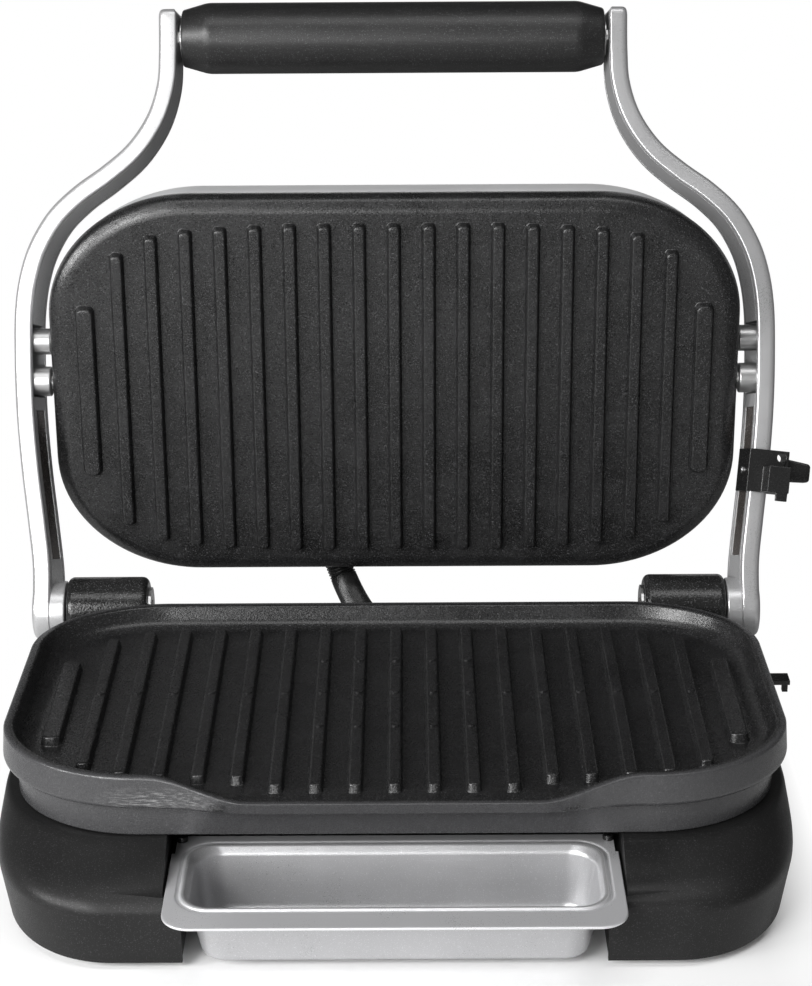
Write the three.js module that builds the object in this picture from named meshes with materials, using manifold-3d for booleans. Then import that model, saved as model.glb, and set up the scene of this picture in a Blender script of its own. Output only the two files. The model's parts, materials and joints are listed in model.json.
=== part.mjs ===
// An electric contact grill with its lid open: a black base with a drip tray between two front lobes,
// a ribbed lower plate, two satin arms that turn on hinges at the back, a ribbed upper plate that tilts
// between the arms, a handle grip across their ends, and a sliding lock on the right arm.
// Lengths are in millimetres. +Z is up, +X is the object's right as a user sees it, -Y is its front.
// Heights are measured from the table, and the whole group is lowered at the end so that the origin
// is the middle of the bottom cover's underside.

import * as THREE from "three";
import { mergeVertices } from "three/addons/utils/BufferGeometryUtils.js";
import Module from "manifold-3d";

const wasm = await Module();
wasm.setup();

// Clearances shared by all pieces
const seat_gap = 0.3; // between pieces that touch
const cut_overrun = 5; // how far a cutting tool runs past what it cuts
const sink = 0.6; // how far a joined detail is sunk into its carrier

// Smoothness
const corner_steps = 6;
const front_steps = 14;
const round_sides = 18;
const small_sides = 10;

// Outline of the lower plate, which the base, the upper plate and the arms follow
const plate_half_width = 168.5;
const plate_front = -90.5;
const plate_back = 87.5;
const plate_half_length = (plate_back - plate_front) / 2;
const plate_middle = (plate_back + plate_front) / 2;

// Base casing
const base_margin = 3; // at each side of the lower plate
const lobe_reach = 26.5; // the lobes' front, before the lower plate
const hinge_behind_plate = 18.7;
const base_behind_hinge = 23.8;
const base_half_width = plate_half_width + base_margin;
const base_front = plate_front - lobe_reach;
const hub_y = plate_back + hinge_behind_plate;
const base_back = hub_y + base_behind_hinge;
const base_corner_x = 50;
const base_corner_front = 60;
const base_corner_back = 24;
const base_draft_side = 4.5;
const base_draft_end = 0.5;
const casing_wall = 2.5;
const casing_bottom = 3;
const deck_height = 45;
const shoulder_drop = 13.5; // below the deck
const shoulder_height = deck_height - shoulder_drop;
const shoulder_round = 1.6;
const deck_side_inset = 9;
const deck_front_inset = 31;
const deck_back_inset = 4;

// Tray bay between the lobes
const bay_half_width = 88;
const bay_under_plate = 28.5; // how far the bay reaches under the plate
const bay_back = plate_front + bay_under_plate;
const ledge_above_shoulder = 0.5;
const ledge_height = shoulder_height + ledge_above_shoulder;
const tray_overhang = 6.5; // of the tray over the bay's sides
const tray_play = 1;
const tray_half_width = bay_half_width + tray_overhang;
const ledge_half_width = tray_half_width + tray_play;

// Bottom cover, feet and screws
const cover_plate_thickness = 2;
const foot_radius = 8;
const foot_edge = 1;
const foot_stem_radius = 2.5;
const foot_stem_rise = 2.6;
const foot_inset_side = 43.5;
const foot_inset_front = 43;
const foot_inset_back = 22;
const foot_x = base_half_width - foot_inset_side;
const foot_front_y = base_front + foot_inset_front;
const foot_back_y = base_back - foot_inset_back;
const screw_radius = 1.5;
const screw_head_radius = 3.2;
const screw_head_height = 1.4;
const screw_length = 14;
const boss_radius = 4.5;
const boss_inset_side = 21.5;
const boss_inset_front = 77;
const boss_inset_back = 70;
const boss_x = base_half_width - boss_inset_side;
const boss_front_y = base_front + boss_inset_front;
const boss_back_y = base_back - boss_inset_back;

// Lower plate
const plate_corner_x = 62;
const plate_corner_y = 50;
const floor_above_deck = 21;
const plate_floor = deck_height + floor_above_deck;
const plate_thickness = 4;
const rim_rise = 9; // above the floor
const rim_height = plate_floor + rim_rise;
const rim_width = 3;
const rim_edge = 2; // the outer edge's round
const band_drop = 5; // below the floor
const band_bottom = plate_floor - band_drop;
const band_edge = 1;
const band_edge_rise = 1.5;
const cove_width = 9;
// The slope from rim to floor: share of its width and depth, and of the lip's reach and drop
const cove_shares = [
  [0.167, 0.2, 1, 0.82],
  [0.444, 0.75, 0.9, 0.2],
  [0.722, 0.95, 0.8, 0.04],
  [1, 1, 0.55, 0],
];
const skirt_inset = 6;
const skirt_wall = 3;
const lip_reach = 7.5;
const lip_drop = 8.6;
const lip_flat_half = 60;
const lip_curve_half = 104;

// Ribs of both plates
const rib_field_inset = 20; // the outermost ribs' middle lines, inside the plate's outline
const ribs_each_side = 9;
const rib_pitch = (plate_half_width - rib_field_inset) / ribs_each_side;
const rib_height = 4;
const rib_top_width = 4.6;
const rib_spread = 2; // how much wider a rib is at its foot
const rib_base_width = rib_top_width + rib_spread;
const end_rib_extra = 2.6;
const lower_rib_end_room = 13.1;
const lower_rib_shift = 3.3; // to the front of the plate's middle
const lower_rib_half_length = plate_half_length - lower_rib_end_room;
const lower_rib_centre = plate_middle - lower_rib_shift;
const lip_rib_extra = 7;
const upper_rib_end_room = 12.4;
// How much of the full half length each rib reaches, from the middle rib outwards
const rib_reach_shares = [1, 1, 1, 1, 0.992, 0.984, 0.97, 0.938, 0.834, 0.52];
const lip_ribs_each_side = 3;

// Upper plate's outline, over the lower plate's
const head_side_inset = 1.5;
const head_overhang = 7; // past the lower plate at front and back, when closed
const head_half_width = plate_half_width - head_side_inset;
const head_half_height = plate_half_length + head_overhang;
const upper_rib_half_length = head_half_height - upper_rib_end_room;

// Arms and hinge
const hub_above_deck = 17.7;
const hub_z = deck_height + hub_above_deck;
const open_lean = 22.6; // degrees that the open arms lean back from upright
const head_above_hinge = 15.9;
const arm_radius = head_half_height + head_above_hinge; // hinge axis to the upper plate's pivot
const arm_past_pivot = 181.1;
const arm_length = arm_radius + arm_past_pivot;
const arm_outside_head = 18;
const arm_widest_x = head_half_width + arm_outside_head;
const arm_top_x = 114.3;
const arm_depth = 20;
const arm_face_width = 8.6;
const arm_back_width = 13;
const arm_top_back_width = 10.6;
const narrow_past_pivot = 38.1;
const arm_narrow_from = arm_radius + narrow_past_pivot; // where the back starts to narrow
const arm_corner = 1.6;
const arm_steps = 26;
// The outer edge of an arm from hub to handle: share of the spread between the handle's and the widest
// place, and share of the arm's length
const arm_route_shares = [
  [0.873, 0],
  [0.877, 0.069],
  [0.908, 0.14],
  [0.953, 0.232],
  [0.986, 0.324],
  [1, 0.417],
  [0.996, 0.501],
  [0.965, 0.556],
  [0.9, 0.607],
  [0.767, 0.662],
  [0.593, 0.703],
  [0.392, 0.738],
  [0.22, 0.774],
  [0.083, 0.823],
  [0.013, 0.877],
  [0, 0.924],
  [0, 1],
];
const stop_pin_distance = 19.5; // pivot pin to stop pin, along the arm
const pocket_before_pivot = 8.4;
const pocket_past_stop = 8.1;
const pocket_start = arm_radius - pocket_before_pivot;
const pocket_end = arm_radius + stop_pin_distance + pocket_past_stop;
const pocket_half_depth = 7.8;
const pocket_floor = 4.4; // from the arm's outer edge
const hub_radius = 14.2;
const hub_round = 3;
const channel_depth = 2;
const channel_half_width = 5.5;
const channel_from_hub = 9.8;
const pocket_land = 6.5; // between channel and pocket
const channel_start = hub_radius + channel_from_hub;
const channel_end = pocket_start - pocket_land;

// Hinge housings and shafts
const housing_inset = 11.7;
const housing_length = 39.3;
const hub_play = 0.5; // between housing and hub
const hub_inset = 8.8; // the hub's outer face, inside the arm's widest place
const housing_outer_x = base_half_width - housing_inset;
const housing_inner_x = housing_outer_x - housing_length;
const hub_inner_x = housing_outer_x + hub_play;
const hub_outer_x = arm_widest_x - hub_inset;
const housing_radius = 16;
const housing_round = 2.5;
const shaft_radius = 4.7;
const washer_radius = 11;
const washer_thickness = 1.2;
const hub_cap_radius = 7.5;
const hub_cap_thickness = 2;
const hub_cap_edge = 0.5;

// Handle
const handle_from_end = 13.2;
const handle_distance = arm_length - handle_from_end; // hinge axis to the grip's middle
const grip_radius = 17.2;
const grip_round = 0.8;
const grip_end_radius = 13.6;
const grip_end_edge = 1;
const grip_taper = 12.5;
const grip_bore_radius = 4.6;
const grip_rod_radius = 4.2;
const handle_screw_radius = 5.2;
const handle_screw_edge = 0.6;

// Upper plate and its cover
const head_corner_x = 70;
const head_corner_y = 60;
const head_centre_up = -1.5; // the plate's middle, above the pivot
const face_offset = 11.4; // pivot axis to the cooking face
const head_joint = -2; // where casting and cover meet, measured like face_offset
const casting_wall = 3.5;
const head_edge_rise = 5; // joint to the widest place of the casting's edge
const head_shoulder_width = 6.5;
const head_shoulder_drop = 3.4;
// The edge of the cooking face: share of the shoulder's width and drop
const head_shoulder_shares = [
  [0.138, 1],
  [0.43, 0.353],
  [1, 0],
];
const pilot_floor = 1;
const cover_depth = 24;
const cover_wall = 2;
const cover_edge_inset = 0.8; // the joint's edge, inside the head's outline
const cover_corner_extra = 5;
const cover_slope_width = 22; // from the cover's edge to its flat back
// The cover's profile: share of that width and of the cover's depth
const cover_slope_shares = [
  [0.018, 0.12],
  [0.018, 0.45],
  [0.1, 0.72],
  [0.273, 0.9],
  [0.591, 0.98],
  [1, 1],
];
const head_boss_inset_side = 55;
const head_boss_inset_end = 38;
const head_boss_x = head_half_width - head_boss_inset_side;
const head_boss_up = head_half_height - head_boss_inset_end;
const cover_well_radius = 5.2;
const cover_well_bore = 3.7;
const well_land = 2;
const screw_seat_depth = 4; // under the cover's joint
const cover_screw_length = 11;

// Pivot and stop pins
const pivot_collar_radius = 7.3;
const pivot_pin_radius = 4;
const stop_pin_radius = 6.4;
const stop_tip_radius = 1.9;
const pin_tip_reach = 2.6; // how far a stop tip reaches into the cover's slot
const pin_step = 1; // how far a pivot pin stands inside the casting's wall
const collar_chamfer = 0.6;

// Heating elements, shields, thermostats and fuse
const element_radius = 3.2;
const element_inset_side = 44.5;
const element_inset_end = 39;
const element_half_width = plate_half_width - element_inset_side;
const element_half_height = plate_half_length - element_inset_end;
const element_terminal_x = 22;
const element_steps = 28;
const element_sides = 6;
const shield_thickness = 0.8;
const shield_clearance = 1;
const thermostat_radius = 9;
const thermostat_height = 7;
const thermostat_rim = 1.5;
const fuse_radius = 3;
const fuse_length = 22;

// Terminal block and cord gland
const block_length = 34;
const block_width = 16;
const block_height = 12;
const block_x = 62;
const block_from_back = 38;
const block_y = base_back - block_from_back;
const gland_x = block_x;
const gland_rise = 16;
const gland_z = casing_bottom + gland_rise;
const gland_radius = 6;
const gland_flange_radius = 9;
const gland_flange = 2.5;
const gland_nose = 12;
const gland_step = 1;
const gland_clip = 1.2;
const gland_nose_wall = 1.2;
const gland_bore_radius = 3.4;

// Drip tray
const tray_before_base = 22.3;
const tray_back_play = 2.5;
const tray_front = base_front - tray_before_base;
const tray_back = bay_back - tray_back_play;
const tray_corner = 12;
const tray_back_corner = 4;
const tray_flange_front = 15.5;
const tray_flange_side = 7.4;
const tray_flange_back = 8.2;
const tray_sheet = 1.2;
const tray_bottom = 4;
const tray_draft_side = 5;
const tray_draft_front = 5;
const tray_bowl_corner = 12;
const tray_bottom_round = 3;
const tray_neck = 1; // under the flange
const tray_bead_width = 3.2;
const tray_bead_height = 0.9;
const tray_notch_depth = 1.5;
const tray_notch_length = 15;
const tray_notch_y = tray_back - tray_notch_length;
const stud_inset_side = 3.7;
const stud_inset_back = 4.1;
const stud_x = tray_half_width - stud_inset_side;
const stud_y = tray_back - stud_inset_back;
const stud_radius = 2.4;
const stud_height = 2.6;
const stud_edge = 0.8;

// Ribbed conduit, its gland on the deck and its sleeve in the cover
const hose_radius = 6.8;
const hose_rib_depth = 0.7;
const hose_bore_radius = 4.8;
const hose_rib_pitch = 1.6;
const hose_ring_points = 8;
const hose_straight = 13.6;
const hose_heading = 18; // degrees that the conduit runs towards the left as it goes back
const hose_start_x = -12.3;
const hose_start_behind_hinge = 0.8;
const hose_start_above_deck = 9;
const hose_end_x = -32.8;
const hose_end_behind_pivot = 15.3;
const hose_end_below_pivot = 95;
const hose_end_direction_shares = [-0.34, 0.15, 0.93];
const gland_block_half = 9;
const gland_block_front = 5;
const gland_block_back = 6;
const gland_spigot_radius = 5.2;
const gland_spigot_drop = 6;
const sleeve_radius = 8.4;
const sleeve_outside = 6;
const sleeve_inside = 9;
const sleeve_round = 0.8;

// Lock on the right arm, drawn from the arm's outer edge at the clip's middle, and its catch on the base
const lock_distance = 65.5; // hinge axis to the clip's middle, along the arm
const lock_half_length = 10.4;
const lock_plate = 3;
const lock_outside = 8.4; // how far the clip stands out from the arm
const lock_lip = 1.8; // how far the front plate laps round the arm's inner edge
const lock_side = 6.5; // thickness of the cheek beside the arm
const lock_cheek_back = 5;
const lock_inner_back = 4;
const lock_leg_inside = 3.4;
const lock_leg_outside = 6.8;
const lock_leg_high = 2;
const lock_leg_reach = 33.2;
const lock_toe_width = 6;
const lock_toe_drop = 4;
const lock_toe_height = 3;
const lock_hole_radius = 2.3;
const lock_hole_out = 4.8;
const lock_hole_up = 5.6;
const knob_length = 11.4;
const knob_half_height = 6;
const knob_end_half_height = 4.3;
const knob_half_depth = 5;
const knob_edge = 1;
const catch_before_lock = 9.5;
const catch_depth = 8.8;
const catch_front = hub_y - lock_distance + catch_before_lock;
const catch_back = catch_front + catch_depth;
const catch_sheet = 2;
const catch_web_inset = 1;
const catch_foot_inset = 6.3;
const catch_pad_inset = 9.7;
const catch_web_x = base_half_width - catch_web_inset;
const catch_foot_x = base_half_width - catch_foot_inset;
const catch_outer_x = arm_widest_x;
const catch_above_deck = 4.4;
const catch_height = deck_height + catch_above_deck;
const catch_spur_length = 8.4;
const catch_spur_low = catch_height - catch_spur_length;
const catch_spur_width = 2.6;
const catch_spur_depth = 3;
const catch_pad_x = base_half_width - catch_pad_inset;
const catch_pad_margin = 1;
const catch_pad_rise = 0.6;

// Colours: colour, roughness and metalness
const finishes = {
  casing: [0x1d1d1f, 0.62, 0],
  coating: [0x2b2b2d, 0.5, 0.2],
  silver: [0xb4b5b8, 0.36, 0.85],
  tray_metal: [0xb0b1b3, 0.4, 0.8],
  grip: [0x1a1a1b, 0.7, 0],
  gloss_black: [0x101012, 0.3, 0],
  dark_insert: [0x3a302c, 0.35, 0.3],
  steel: [0xa8a8aa, 0.35, 0.9],
  rubber: [0x161616, 0.9, 0],
  ceramic: [0xe6e2d8, 0.7, 0],
  cover_silver: [0xc6c7ca, 0.4, 0.7],
};

const grill = new THREE.Group();
const radians = THREE.MathUtils.degToRad;
const quarter = Math.PI / 2;

// The place of the upper plate's pivot when the grill is open
function pivotPlace() {
  const lean = radians(open_lean);
  return new THREE.Vector3(0, hub_y + arm_radius * Math.sin(lean), hub_z + arm_radius * Math.cos(lean));
}

// Where the conduit starts on the deck and ends in the upper cover
const hose_start = new THREE.Vector3(
  hose_start_x,
  hub_y + hose_start_behind_hinge,
  deck_height + hose_start_above_deck,
);
const hose_end = new THREE.Vector3(
  hose_end_x,
  pivotPlace().y + hose_end_behind_pivot,
  pivotPlace().z - hose_end_below_pivot,
);
const hose_end_direction = new THREE.Vector3(...hose_end_direction_shares).normalize();

// Geometry helpers

function facesOut(geometry) {
  const p = geometry.getAttribute("position");
  const index = geometry.getIndex();
  const count = index.count;
  const a = new THREE.Vector3();
  const b = new THREE.Vector3();
  const c = new THREE.Vector3();
  let volume = 0;
  for (let i = 0; i < count; i += 3) {
    a.fromBufferAttribute(p, index.getX(i));
    b.fromBufferAttribute(p, index.getX(i + 1));
    c.fromBufferAttribute(p, index.getX(i + 2));
    volume += a.dot(b.cross(c));
  }
  if (volume < 0) {
    const turned = Array.from(index.array);
    for (let i = 0; i < count; i += 3) {
      const kept = turned[i + 1];
      turned[i + 1] = turned[i + 2];
      turned[i + 2] = kept;
    }
    geometry.setIndex(turned);
  }
  return geometry;
}

function clean(geometry) {
  const copy = geometry.clone();
  copy.deleteAttribute("normal");
  copy.deleteAttribute("uv");
  return facesOut(mergeVertices(copy, 1e-4));
}

function solid(geometry) {
  const g = clean(geometry);
  return new wasm.Manifold(
    new wasm.Mesh({
      numProp: 3,
      vertProperties: new Float32Array(g.getAttribute("position").array),
      triVerts: new Uint32Array(g.getIndex().array),
    }),
  );
}

function geometryOf(made) {
  const mesh = made.getMesh();
  const g = new THREE.BufferGeometry();
  g.setAttribute("position", new THREE.BufferAttribute(mesh.vertProperties, 3));
  g.setIndex(new THREE.BufferAttribute(mesh.triVerts, 1));
  return g;
}

function joined(first, ...others) {
  return geometryOf(others.reduce((sum, g) => sum.add(solid(g)), solid(first)));
}

function cutFrom(first, ...others) {
  return geometryOf(others.reduce((rest, g) => rest.subtract(solid(g)), solid(first)));
}

function mirrored(geometry) {
  return facesOut(clean(geometry).scale(-1, 1, 1));
}

function boxBetween(low, high) {
  const size = new THREE.Vector3(...high).sub(new THREE.Vector3(...low));
  const g = new THREE.BoxGeometry(size.x, size.y, size.z);
  g.translate((low[0] + high[0]) / 2, (low[1] + high[1]) / 2, (low[2] + high[2]) / 2);
  return g;
}

// A solid of revolution round the Z axis from [radius, height] pairs, closed on the axis
function turned(profile, sides = round_sides) {
  const points = profile.map(([r, h]) => new THREE.Vector2(r, h));
  const g = clean(new THREE.LatheGeometry(points, sides));
  return facesOut(g.rotateX(Math.PI / 2));
}

// The same, with its axis along X from the first height to the last
function turnedAlongX(profile, sides = round_sides) {
  return turned(profile, sides).rotateY(Math.PI / 2);
}

function cylinderAlongX(radius, from, to, sides = round_sides) {
  return turnedAlongX([[0, from], [radius, from], [radius, to], [0, to]], sides);
}

function cylinderAlongZ(radius, from, to, sides = round_sides) {
  return turned([[0, from], [radius, from], [radius, to], [0, to]], sides);
}

// A closed body through a row of rings with equal point counts, capped flat at both ends
function ringBody(rings) {
  const n = rings[0].length;
  const points = [];
  const faces = [];
  for (const ring of rings) for (const p of ring) points.push(p.x, p.y, p.z);
  for (let r = 0; r + 1 < rings.length; r++) {
    for (let k = 0; k < n; k++) {
      const a = r * n + k;
      const b = r * n + ((k + 1) % n);
      faces.push(a, b, b + n, a, b + n, a + n);
    }
  }
  for (const [ring, start] of [[rings[0], 0], [rings[rings.length - 1], (rings.length - 1) * n]]) {
    const middle = ring.reduce((sum, p) => sum.add(p), new THREE.Vector3()).divideScalar(n);
    const m = points.length / 3;
    points.push(middle.x, middle.y, middle.z);
    for (let k = 0; k < n; k++) {
      const a = start + k;
      const b = start + ((k + 1) % n);
      if (start === 0) faces.push(m, b, a);
      else faces.push(m, a, b);
    }
  }
  const g = new THREE.BufferGeometry();
  g.setAttribute("position", new THREE.Float32BufferAttribute(points, 3));
  g.setIndex(faces);
  return facesOut(g);
}

// A rounded rectangle with elliptical corners, drawn in by inset and laid at one height
function roundedRing(size, inset, z, frontSteps = 1) {
  const least = seat_gap;
  const half = size.half - inset;
  const front = size.front + inset;
  const back = size.back - inset;
  const rx = Math.max(size.rx - inset, least);
  const bx = Math.max((size.rxBack ?? size.rx) - inset, least);
  const rf = Math.max(size.rf - inset, least);
  const rb = Math.max(size.rb - inset, least);
  const ring = [];
  for (let i = 0; i <= frontSteps; i++) {
    ring.push(new THREE.Vector3((half - rx) * ((2 * i) / frontSteps - 1), front, z));
  }
  const corners = [
    [half - rx, front + rf, rx, rf, -quarter, 1, corner_steps],
    [half - bx, back - rb, bx, rb, 0, 0, corner_steps],
    [bx - half, back - rb, bx, rb, quarter, 0, corner_steps],
    [rx - half, front + rf, rx, rf, 2 * quarter, 0, corner_steps - 1],
  ];
  for (const [x, y, ex, ey, start, first, last] of corners) {
    for (let i = first; i <= last; i++) {
      const turn = start + (quarter * i) / corner_steps;
      ring.push(new THREE.Vector3(x + ex * Math.cos(turn), y + ey * Math.sin(turn), z));
    }
  }
  return ring;
}

// A bar along a smooth curve with a round section
function roundBar(curve, radius, steps, sides) {
  const section = new THREE.Shape();
  for (let i = 0; i < sides; i++) {
    const turn = (2 * Math.PI * i) / sides;
    if (i === 0) section.moveTo(radius * Math.cos(turn), radius * Math.sin(turn));
    else section.lineTo(radius * Math.cos(turn), radius * Math.sin(turn));
  }
  return new THREE.ExtrudeGeometry(section, { steps, extrudePath: curve, bevelEnabled: false });
}

// A flat outline of [y, z] pairs carried along X
function slabAlongX(outline, from, to, bevel = 0) {
  const shape = new THREE.Shape(outline.map(([y, z]) => new THREE.Vector2(y, z)));
  const g = new THREE.ExtrudeGeometry(shape, {
    depth: to - from - 2 * bevel,
    bevelEnabled: bevel > 0,
    bevelSize: bevel,
    bevelOffset: -bevel,
    bevelThickness: bevel,
    bevelSegments: 2,
  });
  g.applyMatrix4(new THREE.Matrix4().set(0, 0, 1, from + bevel, 1, 0, 0, 0, 0, 1, 0, 0, 0, 0, 0, 1));
  return g;
}

// A flat outline of [x, z] pairs carried along Y
function slabAlongY(outline, from, to) {
  const shape = new THREE.Shape(outline.map(([x, z]) => new THREE.Vector2(x, z)));
  const g = new THREE.ExtrudeGeometry(shape, { depth: to - from, bevelEnabled: false });
  g.applyMatrix4(new THREE.Matrix4().set(1, 0, 0, 0, 0, 0, 1, from, 0, 1, 0, 0, 0, 0, 0, 1));
  return facesOut(clean(g));
}

// A flat outline of [x, y] pairs carried along Z
function slabAlongZ(outline, from, to) {
  const shape = new THREE.Shape(outline.map(([x, y]) => new THREE.Vector2(x, y)));
  const g = new THREE.ExtrudeGeometry(shape, { depth: to - from, bevelEnabled: false });
  return facesOut(clean(g.translate(0, 0, from)));
}

function piece(parent, name, geometry, finish) {
  const [color, roughness, metalness] = finishes[finish];
  const material = new THREE.MeshStandardMaterial({ color, roughness, metalness });
  const g = clean(geometry);
  g.computeVertexNormals();
  const mesh = new THREE.Mesh(g, material);
  mesh.name = name;
  parent.add(mesh);
  return mesh;
}

// Base casing: walls, sloping lobe tops, deck, tray bay, ledges, hinge pedestals and bosses

function baseOutline(inset = 0) {
  return {
    half: base_half_width - inset,
    front: base_front + inset,
    back: base_back - inset,
    rx: base_corner_x - inset,
    rxBack: base_corner_back - inset,
    rf: base_corner_front - inset,
    rb: base_corner_back - inset,
  };
}

// One ring of the casing, drawn in by a share of the way from shoulder to deck
function casingRing(inset, share, z) {
  const size = baseOutline(inset);
  size.half -= deck_side_inset * share;
  size.front += deck_front_inset * share;
  size.back -= deck_back_inset * share;
  return roundedRing(size, 0, z);
}

// The outline at the casing's foot, which the walls' draft makes smaller
function footOutline(inset) {
  const size = baseOutline(inset);
  size.half -= base_draft_side;
  size.front += base_draft_end;
  size.back -= base_draft_end;
  return size;
}

function casingBody(inset, top) {
  const rise = deck_height - shoulder_height;
  const slopeStart = shoulder_round / rise;
  const slopeLevel = (share) => shoulder_height + rise * share - inset;
  const low = inset ? casing_bottom - cut_overrun : casing_bottom;
  return ringBody([
    roundedRing(footOutline(inset), 0, low),
    casingRing(inset, 0, shoulder_height - shoulder_round - inset),
    casingRing(inset, slopeStart / 3, slopeLevel(slopeStart / 3)),
    casingRing(inset, slopeStart, slopeLevel(slopeStart)),
    casingRing(inset, 1 - slopeStart / 3, slopeLevel(1 - slopeStart / 3)),
    casingRing(inset, 1, top),
  ]);
}

function bayBox(halfWidth, back, low, extra) {
  return boxBetween(
    [-halfWidth - extra, base_front - cut_overrun, low - extra],
    [halfWidth + extra, back + extra, deck_height + cut_overrun],
  );
}

function housingSection(bottom) {
  const outline = [];
  const arcSteps = 14;
  for (let i = 0; i <= arcSteps; i++) {
    const turn = (Math.PI * i) / arcSteps;
    outline.push([hub_y + housing_radius * Math.cos(turn), hub_z + housing_radius * Math.sin(turn)]);
  }
  outline.push([hub_y - housing_radius, bottom], [hub_y + housing_radius, bottom]);
  return outline;
}

function pedestal() {
  return boxBetween(
    [housing_inner_x, hub_y - housing_radius, shoulder_height],
    [housing_outer_x, hub_y + housing_radius, hub_z],
  );
}

function atHinge(geometry) {
  return geometry.translate(0, hub_y, hub_z);
}

// A frame whose Y axis runs along the conduit's heading, at the given point
function headingFrame(point) {
  const turn = new THREE.Matrix4().makeRotationZ(radians(hose_heading));
  return new THREE.Matrix4().makeTranslation(point.x, point.y, point.z).multiply(turn);
}

// A frame whose Z axis runs along the conduit's end, at its end in the cover
function hoseEndFrame() {
  const up = new THREE.Vector3(0, 0, 1);
  const turn = new THREE.Quaternion().setFromUnitVectors(up, hose_end_direction);
  return new THREE.Matrix4().compose(hose_end, turn, new THREE.Vector3(1, 1, 1));
}

function bossPlaces() {
  const places = [];
  for (const x of [-boss_x, boss_x]) for (const y of [boss_front_y, boss_back_y]) places.push([x, y]);
  return places;
}

function baseCasing() {
  const hollow = casingBody(casing_wall, deck_height - casing_wall);
  const walls = [
    bayBox(bay_half_width, bay_back, casing_bottom - cut_overrun, casing_wall),
    bayBox(ledge_half_width, bay_back, ledge_height, casing_wall),
  ];
  let body = cutFrom(casingBody(0, deck_height), cutFrom(hollow, ...walls));
  const bosses = bossPlaces().map(([x, y]) =>
    cylinderAlongZ(
      boss_radius,
      casing_bottom + cover_plate_thickness + seat_gap,
      deck_height - casing_wall + sink,
      small_sides,
    ).translate(x, y, 0),
  );
  const pad = boxBetween(
    [catch_pad_x, catch_front - catch_pad_margin, shoulder_height],
    [catch_web_x + catch_sheet, catch_back + catch_pad_margin, deck_height + catch_pad_rise],
  );
  body = joined(body, pedestal(), mirrored(pedestal()), pad, ...bosses);
  const pilots = bossPlaces().map(([x, y]) =>
    cylinderAlongZ(screw_radius + seat_gap, 0, screw_length + casing_bottom, small_sides).translate(x, y, 0),
  );
  const bore = atHinge(cylinderAlongX(shaft_radius + seat_gap, -base_half_width, base_half_width));
  const glandHole = cylinderAlongZ(gland_radius + seat_gap, -cut_overrun, cut_overrun * 2)
    .rotateX(-Math.PI / 2)
    .translate(gland_x, base_back - casing_wall, gland_z);
  const hoseHole = cylinderAlongZ(gland_spigot_radius + seat_gap, deck_height / 2, deck_height * 2);
  hoseHole.translate(hose_start.x, hose_start.y, 0);
  return cutFrom(
    body,
    bayBox(bay_half_width, bay_back, casing_bottom - cut_overrun, 0),
    bayBox(ledge_half_width, bay_back, ledge_height, 0),
    bore,
    glandHole,
    hoseHole,
    ...pilots,
  );
}

// Bottom cover, feet and screws

function footPlaces() {
  return {
    foot_front_left: [-foot_x, foot_front_y],
    foot_front_right: [foot_x, foot_front_y],
    foot_rear_left: [-foot_x, foot_back_y],
    foot_rear_right: [foot_x, foot_back_y],
  };
}

function bottomCover() {
  const outline = footOutline(casing_wall + seat_gap);
  const low = casing_bottom;
  const high = casing_bottom + cover_plate_thickness;
  const plate = ringBody([roundedRing(outline, 0, low), roundedRing(outline, 0, high)]);
  const notch = boxBetween(
    [-bay_half_width - casing_wall - seat_gap, base_front - cut_overrun, -cut_overrun],
    [bay_half_width + casing_wall + seat_gap, bay_back + casing_wall + seat_gap, high + cut_overrun],
  );
  const holes = bossPlaces().map(([x, y]) =>
    cylinderAlongZ(screw_radius + seat_gap, -cut_overrun, high + cut_overrun, small_sides).translate(x, y, 0),
  );
  for (const [x, y] of Object.values(footPlaces())) {
    const hole = cylinderAlongZ(foot_stem_radius + seat_gap, -cut_overrun, high + cut_overrun, small_sides);
    holes.push(hole.translate(x, y, 0));
  }
  return cutFrom(plate, notch, ...holes);
}

function foot() {
  const top = casing_bottom - seat_gap;
  return turned([
    [0, 0],
    [foot_radius - foot_edge, 0],
    [foot_radius, foot_edge],
    [foot_radius, top],
    [foot_stem_radius, top],
    [foot_stem_radius, top + foot_stem_rise],
    [0, top + foot_stem_rise],
  ], small_sides + 2);
}

function screw(length) {
  return turned(
    [
      [0, -screw_head_height],
      [screw_head_radius - screw_head_height / 2, -screw_head_height],
      [screw_head_radius, -screw_head_height / 2],
      [screw_head_radius, 0],
      [screw_radius, 0],
      [screw_radius, length],
      [0, length],
    ],
    small_sides,
  );
}

// Lower plate with its rim, pouring lip, skirt and ribs

const plateOutline = {
  half: plate_half_width,
  front: plate_front,
  back: plate_back,
  rx: plate_corner_x,
  rf: plate_corner_y,
  rb: plate_corner_y,
};

function lipShare(x) {
  return 1 - THREE.MathUtils.smoothstep(Math.abs(x), lip_flat_half, lip_curve_half);
}

// One ring of the plate; at the lip it moves forward and down by the given shares
function plateRing(inset, z, reachShare = 0, dropShare = 0) {
  return roundedRing(plateOutline, inset, z, front_steps).map((p) => {
    if (p.y > 0) return p;
    const share = lipShare(p.x);
    p.y -= lip_reach * reachShare * share;
    p.z -= lip_drop * dropShare * share;
    return p;
  });
}

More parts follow.
